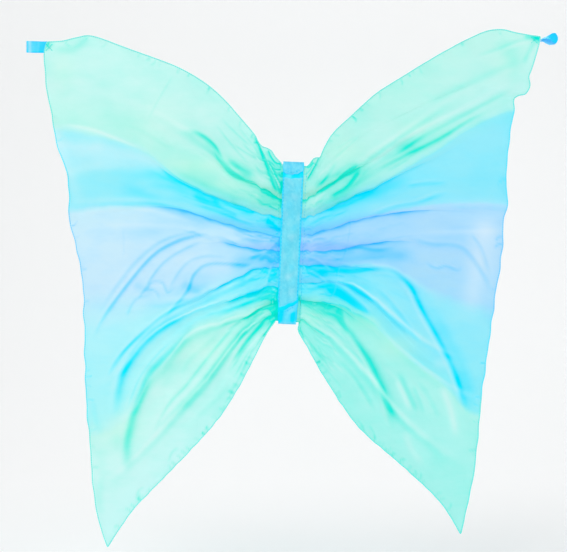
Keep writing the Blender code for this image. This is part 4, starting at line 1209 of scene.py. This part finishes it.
def front_ribbon():
    along, share = np.meshgrid(np.linspace(-BAND_HALF + 3, BAND_HALF - 3, 260), RIBBON_SHARES,
                               indexing="ij")
    from_middle, crown = np.abs(share), 1 - share**2
    wide = ribbon_width(along) + ribbon_edge(along) * from_middle**3
    seam = bell(from_middle * wide, SEAM, 0.9)
    pucker = 0.5 + 0.5 * np.sin(along * 2 * np.pi / 3.7)
    swell = 0.55 * crown * (1 + 0.35 * np.sin(along / 9) + 0.25 * np.sin(along / 5.3 + share * 2))
    y = FRONT_Y - swell + seam * (0.25 + 0.2 * pucker)
    # painted shade along the seams' puckers and at the side edges
    painted_shade = 0.5 * seam * (0.4 + 0.6 * pucker) + 0.5 * bell(from_middle, 1, 0.06)
    # the two ends: painted shade where the folded ends of the back ribbon lap over them, and set back
    top = BAND_HALF - 20.0 + 0.3 * share + 2.0 * share**2 + 0.4 * np.sin(share * 7)
    painted_shade += 0.95 * smooth(along, top - 0.8, top + 0.5)
    low = -BAND_HALF + 23.8 + 5.4 * share + 0.4 * share**2 + 0.4 * np.sin(share * 8 + 1)
    painted_shade += 0.95 * smooth(-along, -low - 1.2, -low + 0.6)
    painted_shade += 0.16 * np.exp(-np.clip(along - low, 0, None) / 9)
    painted_shade += 0.42 * bell(share, -1, 0.13) * (0.7 + 0.3 * np.sin(along / 3.1)) \
        + 0.22 * bell(share, 1, 0.10)
    y += 0.5 * smooth(along, top - 2.5, top) + 0.5 * smooth(-along, -low - 2.5, -low)
    wrinkle = np.sin(along / 5.2 + 1.8 * share) * np.sin(along / 12.7 - 2.6 * share + 1) \
        + 0.6 * np.sin(along / 2.9 - 3.0 * share) * np.sin(along / 19 + share)
    y -= 0.16 * wrinkle * crown
    # painted shade in the wrinkles' hollows, and a painted glint on their crests
    painted_shade += 0.13 * np.clip(-wrinkle, 0, None) * crown
    painted_glints = 0.13 * np.clip(wrinkle - 0.25, 0, None) * crown
    ribbon = grid("band_front_satin_ribbon", lean(share * wide, y, along), satin_front,
                  {"painted_shade": np.clip(painted_shade, 0, 1), "lift": painted_glints}, thick=0.3)
    register(ribbon, "satin_ribbon_front", "band_front_ribbon", ride="band")


def back_ribbon():
    """The back ribbon, and its two ends folded round to the front."""
    share = RIBBON_SHARES
    crown, inner = 1 - share**2, np.abs(share) < 0.98
    turn = (BACK_Y - FLAP_Y) / 2
    middle_y = (BACK_Y + FLAP_Y) / 2
    half = BAND_HALF - 0.1

    # each section gives along, depth and painted shade for a row at k, from 0 to 1 through it
    def low_flap(k):
        free = -half + 18.8 + 6.0 * share + 1.2 * share**2 + 0.4 * np.sin(share * 8)
        wave = (0.7 * np.sin(share * 4.2 + k * 5) + 0.5 * np.sin(share * 7 - k * 9 + 1)) \
            * np.sin(np.pi * k) ** 0.5
        depth = FLAP_Y - 0.15 - 0.55 * crown + 0.6 * wave * inner
        shade = 0.52 + 0.75 * bell(share, 0.25 * (1 - k) - 0.86, 0.30) \
            + 0.80 * bell(share, 0.60, 0.28) * smooth(k, 0.25, 0.5) * (1 - 0.6 * smooth(k, 0.88, 1)) \
            - 0.30 * bell(share, 0.45, 0.3) * (1 - smooth(k, 0.25, 0.5)) \
            - 0.25 * smooth(k, 0.86, 1)
        return free + (-half + turn - free) * k, depth, shade

    def low_turn(k):
        angle = k * np.pi
        return -half + turn - turn * np.sin(angle), middle_y - turn * np.cos(angle), 0.25

    def back(k):
        along = (-half + turn) + (2 * half - 2 * turn) * k
        seam = bell(np.abs(share) * ribbon_width(along), SEAM, 0.9)
        depth = BACK_Y + 0.1 * crown * np.sin(along / 11) \
            - seam * 0.12 * (0.6 + 0.4 * np.sin(along * 2 * np.pi / 3.7))
        return along, depth, 0.45 * seam

    def top_turn(k):
        angle = k * np.pi
        return half - turn + turn * np.sin(angle), middle_y + turn * np.cos(angle), 0.1

    def top_flap(k):
        free = half - 15.2 + 1.2 * share + 4.0 * share**2 + 0.35 * np.sin(share * 11)
        crinkle = bell(share, 0.25 * k - 0.62, 0.10) + bell(share, 0.55 - 0.3 * k, 0.14)
        depth = FLAP_Y - 0.35 * crown \
            - 0.45 * np.sin(np.pi * k) * (1 + 0.5 * np.sin(share * 5)) * inner + 0.3 * crinkle * k
        shade = 0.10 + 0.22 * crinkle * smooth(k, 0.3, 0.8) \
            + 0.35 * bell(share, -0.9, 0.12) * smooth(k, 0.3, 0.7) + 0.4 * bell(share, 0.95, 0.08)
        return half - turn + (free - half + turn) * k, depth, shade

    rows, painted_shade = [], []
    for section, steps in ((low_flap, 30), (low_turn, 14), (back, 160), (top_turn, 14),
                           (top_flap, 18)):
        # a section starts on the last row of the one before it
        for k in np.linspace(0, 1, steps)[1 if rows else 0:]:
            along, depth, shade = section(k)
            across = share * ribbon_width(along) \
                + ribbon_edge(along + 3) * np.abs(share) ** 3 * np.sign(share)
            rows.append(lean(across, depth, along))
            painted_shade.append(shade + 0.35 * bell(np.abs(share), 1, 0.06))
    ribbon = grid("band_back_satin_ribbon", np.array(rows), satin_back,
                  {"painted_shade": np.clip(np.array(painted_shade), 0, 1)}, thick=0.3)
    register(ribbon, "satin_ribbon_back", "band_back_ribbon", ride="band")


def band_stitches(name, replaced, path, normal_y, **sizes):
    row = stitches(name, path, (0, normal_y, 0), thread_blue, **sizes)
    register(row, "sewing_thread", replaced, ride="band")


front_ribbon()
back_ribbon()
for side, name in SIDES:
    along = np.linspace(-BAND_HALF + 26, BAND_HALF - 12, 200)
    path = lean(side * (SEAM + 0.15 * np.sin(along / 5)), FRONT_Y - 0.3, along)
    band_stitches(name + "_front_stitch_row", name + "_front_topstitch", path, -1,
                  length=2.4, gap=2.0, radius=0.27, seed=11 + side)
    along = np.linspace(-BAND_HALF + 5, BAND_HALF - 5, 220)
    path = lean(side * (SEAM + 0.15 * np.sin(along / 6)), BACK_Y + 0.22, along)
    band_stitches(name + "_back_stitch_row", name + "_back_topstitch", path, 1,
                  length=2.4, gap=1.3, radius=0.2, seed=21 + side)
share = np.linspace(-1, 1, 60)
top_line = BAND_HALF - 13.0 + 1.2 * share + 3.8 * share**2
bottom_line = -BAND_HALF + 16.4 + 5.6 * share + 1.0 * share**2
for where, along, seed in (("top", top_line, 32), ("bottom", bottom_line, 30)):
    path = lean(share * 9.6, FLAP_Y - 0.75 * (1 - share**2) - 0.35, along)
    band_stitches(where + "_flap_stitch_row", where + "_flap_stitch", path, -1,
                  length=2.0, gap=1.3, radius=0.2, seed=seed)

# ---------------------------------------------------------------- shoulder elastics
ELASTIC_PLANE = math.radians(66)  # the loop's plane, turned back from the band's
ELASTIC_HALF_WIDE = 3.0
ELASTIC_LIE_Y = 0.75  # depth of the ends that lie flat on the band
LOOP_START = 0.6
# upper half of the loop: distance out from the band, and place along it
UPPER_LOOP = [(LOOP_START, 69.3), (1.6, 78), (9, 87), (23, 88), (40, 77), (54, 50), (60, 18)]


def shoulder_elastic(side, name):
    """One strip: an end flat on the band, a turn into the loop's plane, the loop, and back."""
    out = np.array([side * math.cos(ELASTIC_PLANE), math.sin(ELASTIC_PLANE)])
    wide = np.array([-side * math.sin(ELASTIC_PLANE), math.cos(ELASTIC_PLANE)])
    # stations: distance out, place along the band, how far turned into the loop's plane
    end = [(LOOP_START, 48 + 21.3 * k, smooth(k, 0.62, 1.0)) for k in np.linspace(0, 1, 40)]
    loop = spline(UPPER_LOOP + [(distance, -along) for distance, along in UPPER_LOOP[::-1]], 200)
    stations = end + [(distance, along, 1.0) for distance, along in loop]
    stations += [(distance, -along, turned) for distance, along, turned in end[::-1]]
    share = np.linspace(-1, 1, 13)
    ribs = 0.5 + 0.5 * np.cos(share * np.pi * 5)
    rows = []
    for distance, along, turned in stations:
        across = side * ELASTIC_X + distance * out[0] * turned
        depth = ELASTIC_LIE_Y + (ELASTIC_Y + distance * out[1] - ELASTIC_LIE_Y) * turned
        direction = np.array([-side * 1.0, 0.0]) * (1 - turned) + wide * turned
        direction /= np.linalg.norm(direction)
        rows.append(lean(across + direction[0] * share * ELASTIC_HALF_WIDE,
                         depth + direction[1] * share * ELASTIC_HALF_WIDE, along))
    picks = 0.5 + 0.5 * np.sin(np.arange(1, len(rows) + 1) * 2.1)
    strip = grid(name + "_shoulder_elastic_strap", np.array(rows), elastic_look,
                 {"rib": np.tile(ribs, len(rows)), "pick": np.repeat(picks, len(share))},
                 thick=0.9)
    start = lean(side * ELASTIC_X, 1.6, 0)
    finish = lean(side * ELASTIC_X + 6 * out[0], 1.6 + 6 * out[1], 0)
    register(strip, "knit_elastic", name + "_shoulder_elastic", name + "_elastic_end_top",
             name + "_elastic_end_bottom",
             blend=("band", name + "_elastic", tuple(start), tuple(finish)))
    for where in ("top", "bottom"):
        tack = frame["nodes"][f"{name}_elastic_tack_{where}"]
        tack.data.materials.clear()
        tack.data.materials.append(thread_blue)


for side, name in SIDES:
    shoulder_elastic(side, name)

# ---------------------------------------------------------------- finger loops
PLY_GAP = 0.8  # half the gap between the loop's two plies
LOOP_HALF_WIDE = 6.85
CROSS_HALF = 4.2  # half the size of the cross of stitches
LOOP_SHARES = np.linspace(-1, 1, 25)


def loop_stations(length, tail):
    """Distance out from the corner, depth, and ply (0 front to 1 back), round the loop."""
    def steps(count):
        return np.linspace(0, 1, count)

    gap = PLY_GAP
    path = [(-tail + (tail + 1) * k, 0.25 - gap * 0.9 * smooth(k, 0.75, 1), 0) for k in steps(24)]
    path += [(1 + (length - 1) * k, -gap - 0.35 * math.sin(math.pi * k), 0)
             for k in steps(34)[1:]]
    path += [(length + (gap + 0.3) * math.sin(k * math.pi), -gap * math.cos(k * math.pi), k)
             for k in steps(18)[1:]]
    path += [(length - (length - 1) * k, gap + 0.35 * math.sin(math.pi * k), 1)
             for k in steps(34)[1:]]
    path += [(1 - (tail + 1) * k, 0.85 - 0.2 * k, 1) for k in steps(24)[1:]]
    return path


def flat_row(distance, spread, ply, k):
    """A row of the left loop: out, y, z, painted shade and painted highlight."""
    share = LOOP_SHARES
    painted_shade = 0.08 + 0.85 * bell(share, -1, 0.20) + 0.25 * bell(share, 1, 0.08) \
        + 0.45 * bell(k, 1, 0.07) + 0.55 * bell(k, 0, 0.10) + 0.2 * bell(k, 0.4, 0.25)
    return distance, spread, LOOP_HALF_WIDE * share + 0.4 * k, painted_shade, 0.22 * bell(k, 0.80, 0.13)


def twisted_row(distance, spread, ply, k):
    """A row of the right loop: nearly edge on at the corner, then open, with its plies apart."""
    share = LOOP_SHARES
    # angle, rise in z and forward shift of each ply, by distance from the corner
    near_ply = np.array([
        math.radians(np.interp(distance, [-10, -6, 1.8, 6, 10.8, 16], [0, 80, 78, 58, 30, 20])),
        0.7,
        np.interp(distance, [-6, 0, 2, 6, 11, 15, 17], [0, 0.5, 3.2, 4.6, 2.6, 0.8, 0])])
    far_ply = np.array([
        math.radians(np.interp(distance, [-10, -6, -3, 0, 1.8, 6, 11, 16],
                               [0, 80, 72, 60, 54, 42, 44, 20])),
        np.interp(distance, [-10, -3, 1.8, 6, 10.8, 14.5, 16.5],
                  [0.7, -1.2, -2.0, -2.7, -2.4, -1.0, 0.7]),
        0.0])
    angle, rise, forward = (1 - ply) * near_ply + ply * far_ply
    rise -= 2.2 * (1 - smooth(distance, -5, 0))
    width = LOOP_HALF_WIDE * share * (0.45 + 0.55 * smooth(distance, -4, 1.5))
    front = ply < 0.5
    y = -forward + spread * math.cos(angle) + width * math.sin(angle) * (0.7 if front else 0.5)
    out = distance * (1 - 0.16 * share**2 * smooth(k, 0.3, 1.0))
    # painted shade, strong on the near ply past the corner and light on the far ply, which also gets
    # a painted highlight
    painted_shade = (0.92 if front and distance > 0 else 0.30) + 0.25 * bell(np.abs(share), 1, 0.10)
    return out, y, width * math.cos(angle) + rise, painted_shade, 0.0 if front else 0.16


def finger_loop(side, name, make_row):
    place = joint_place(name + "_finger_loop_swing")
    box, tail_box = span(name + "_finger_loop"), span(name + "_finger_loop_tail")
    outer, inner = (0, 1) if side < 0 else (1, 0)
    length = side * (box[outer][0] - place[0]) - PLY_GAP
    tail = min(side * (place[0] - tail_box[inner][0]), 12.0)
    points, painted_shade, lift = [], [], []
    for distance, depth, ply in loop_stations(length, tail):
        k = float(np.clip(distance / length, 0, 1))
        spread = depth + 0.15 * np.sin(LOOP_SHARES * 3 + distance / 3) * (distance > 0)
        # shade and light: the row's painted shade and painted highlight
        out, y, z, shade, light = make_row(distance, spread, ply, k)
        out = out + 0 * LOOP_SHARES
        points.append(np.stack([place[0] + side * out, place[1] + y, place[2] + z], -1) * MM)
        painted_shade.append(np.clip(shade, 0, 1))
        lift.append(light + 0 * LOOP_SHARES)
    strip = grid(name + "_finger_loop_ribbon", np.array(points), satin_loop,
                 {"painted_shade": np.array(painted_shade), "lift": np.array(lift)}, thick=0.3)
    register(strip, "loop_ribbon", name + "_finger_loop", name + "_finger_loop_tail",
             blend=(name + "_wing", name + "_loop",
                    tuple((place - [side * 3.5, 0, 0]) * MM),
                    tuple((place + [side * 4.0, 0, 0]) * MM)))

    # a cross of two short rows of stitches
    node = name + "_loop_cross_stitch"
    low, high = span(node)
    middle = (low + high) / 2
    for suffix, start, end, seed, replaced in (
            ("", (-1, -1), (1, 1), 41, (node,)),
            ("_b", (0.9, -1), (-1, 0.95), 42, ())):
        ends = [[middle[0] + CROSS_HALF * x, low[1] + 0.55, middle[2] + CROSS_HALF * z]
                for x, z in (start, end)]
        row = stitches(name + "_cross_stitches" + suffix, spline(ends, 30) * MM, (0, -1, 0),
                       thread_green, length=2.5, gap=0.3, radius=0.36, seed=seed)
        register(row, "sewing_thread", *replaced, ride=name + "_wing")


finger_loop(-1, "left", flat_row)
finger_loop(1, "right", twisted_row)

# ---------------------------------------------------------------- stage, lights and camera
# In metres: a floor that curves up into a wall behind the wings
FLOOR_Z, BEND_Y, BEND = -0.42, 1.0, 0.9
profile = [(-3.2, FLOOR_Z)]
profile += [(BEND_Y + BEND * math.sin(k), FLOOR_Z + BEND * (1 - math.cos(k)))
            for k in np.linspace(0, math.pi / 2, 24)]
profile += [(BEND_Y + BEND, 3.4)]
sweep = np.array([[(x, y, z) for x in np.linspace(-4, 4, 9)] for y, z in profile])
grid("studio_sweep", sweep, paper("pale_paper"))


def lamp(name, place, target, size, power, colour=(1, 1, 1)):
    data = bpy.data.lights.new(name, "AREA")
    data.shape = "RECTANGLE"
    data.size, data.size_y = size
    data.energy = power
    data.color = colour
    obj = bpy.data.objects.new(name, data)
    obj.location = place
    obj.rotation_euler = (Vector(target) - Vector(place)).to_track_quat("-Z", "Y").to_euler()
    bpy.context.scene.collection.objects.link(obj)


lamp("key", place=(-1.3, -2.0, 1.7), target=(0, 0, -0.05), size=(2.4, 2.4), power=34,
     colour=(1.0, 0.99, 0.97))
lamp("fill", place=(1.8, -1.8, 0.4), target=(0, 0, 0), size=(2.0, 2.0), power=12,
     colour=(0.97, 0.99, 1.0))
lamp("rim", place=(0.3, 1.6, 1.5), target=(0, 0, 0), size=(2.0, 1.2), power=13)

scene = bpy.context.scene
world = bpy.data.worlds.new("studio")
scene.world = world
world.use_nodes = True
background = world.node_tree.nodes["Background"]
background.inputs["Color"].default_value = (0.97, 0.985, 1.0, 1)
background.inputs["Strength"].default_value = 0.505

VIEW_WIDTH = 0.6804  # metres across the view at the wings
scene.view_settings.view_transform = "Standard"
lens = bpy.data.cameras.new("camera")
lens.lens = 100
lens.sensor_width = 36
camera = bpy.data.objects.new("camera", lens)
camera.location = (-0.0082, -VIEW_WIDTH * lens.lens / lens.sensor_width, -0.0396)
camera.rotation_euler = (math.radians(90), 0, 0)
scene.collection.objects.link(camera)
scene.camera = camera
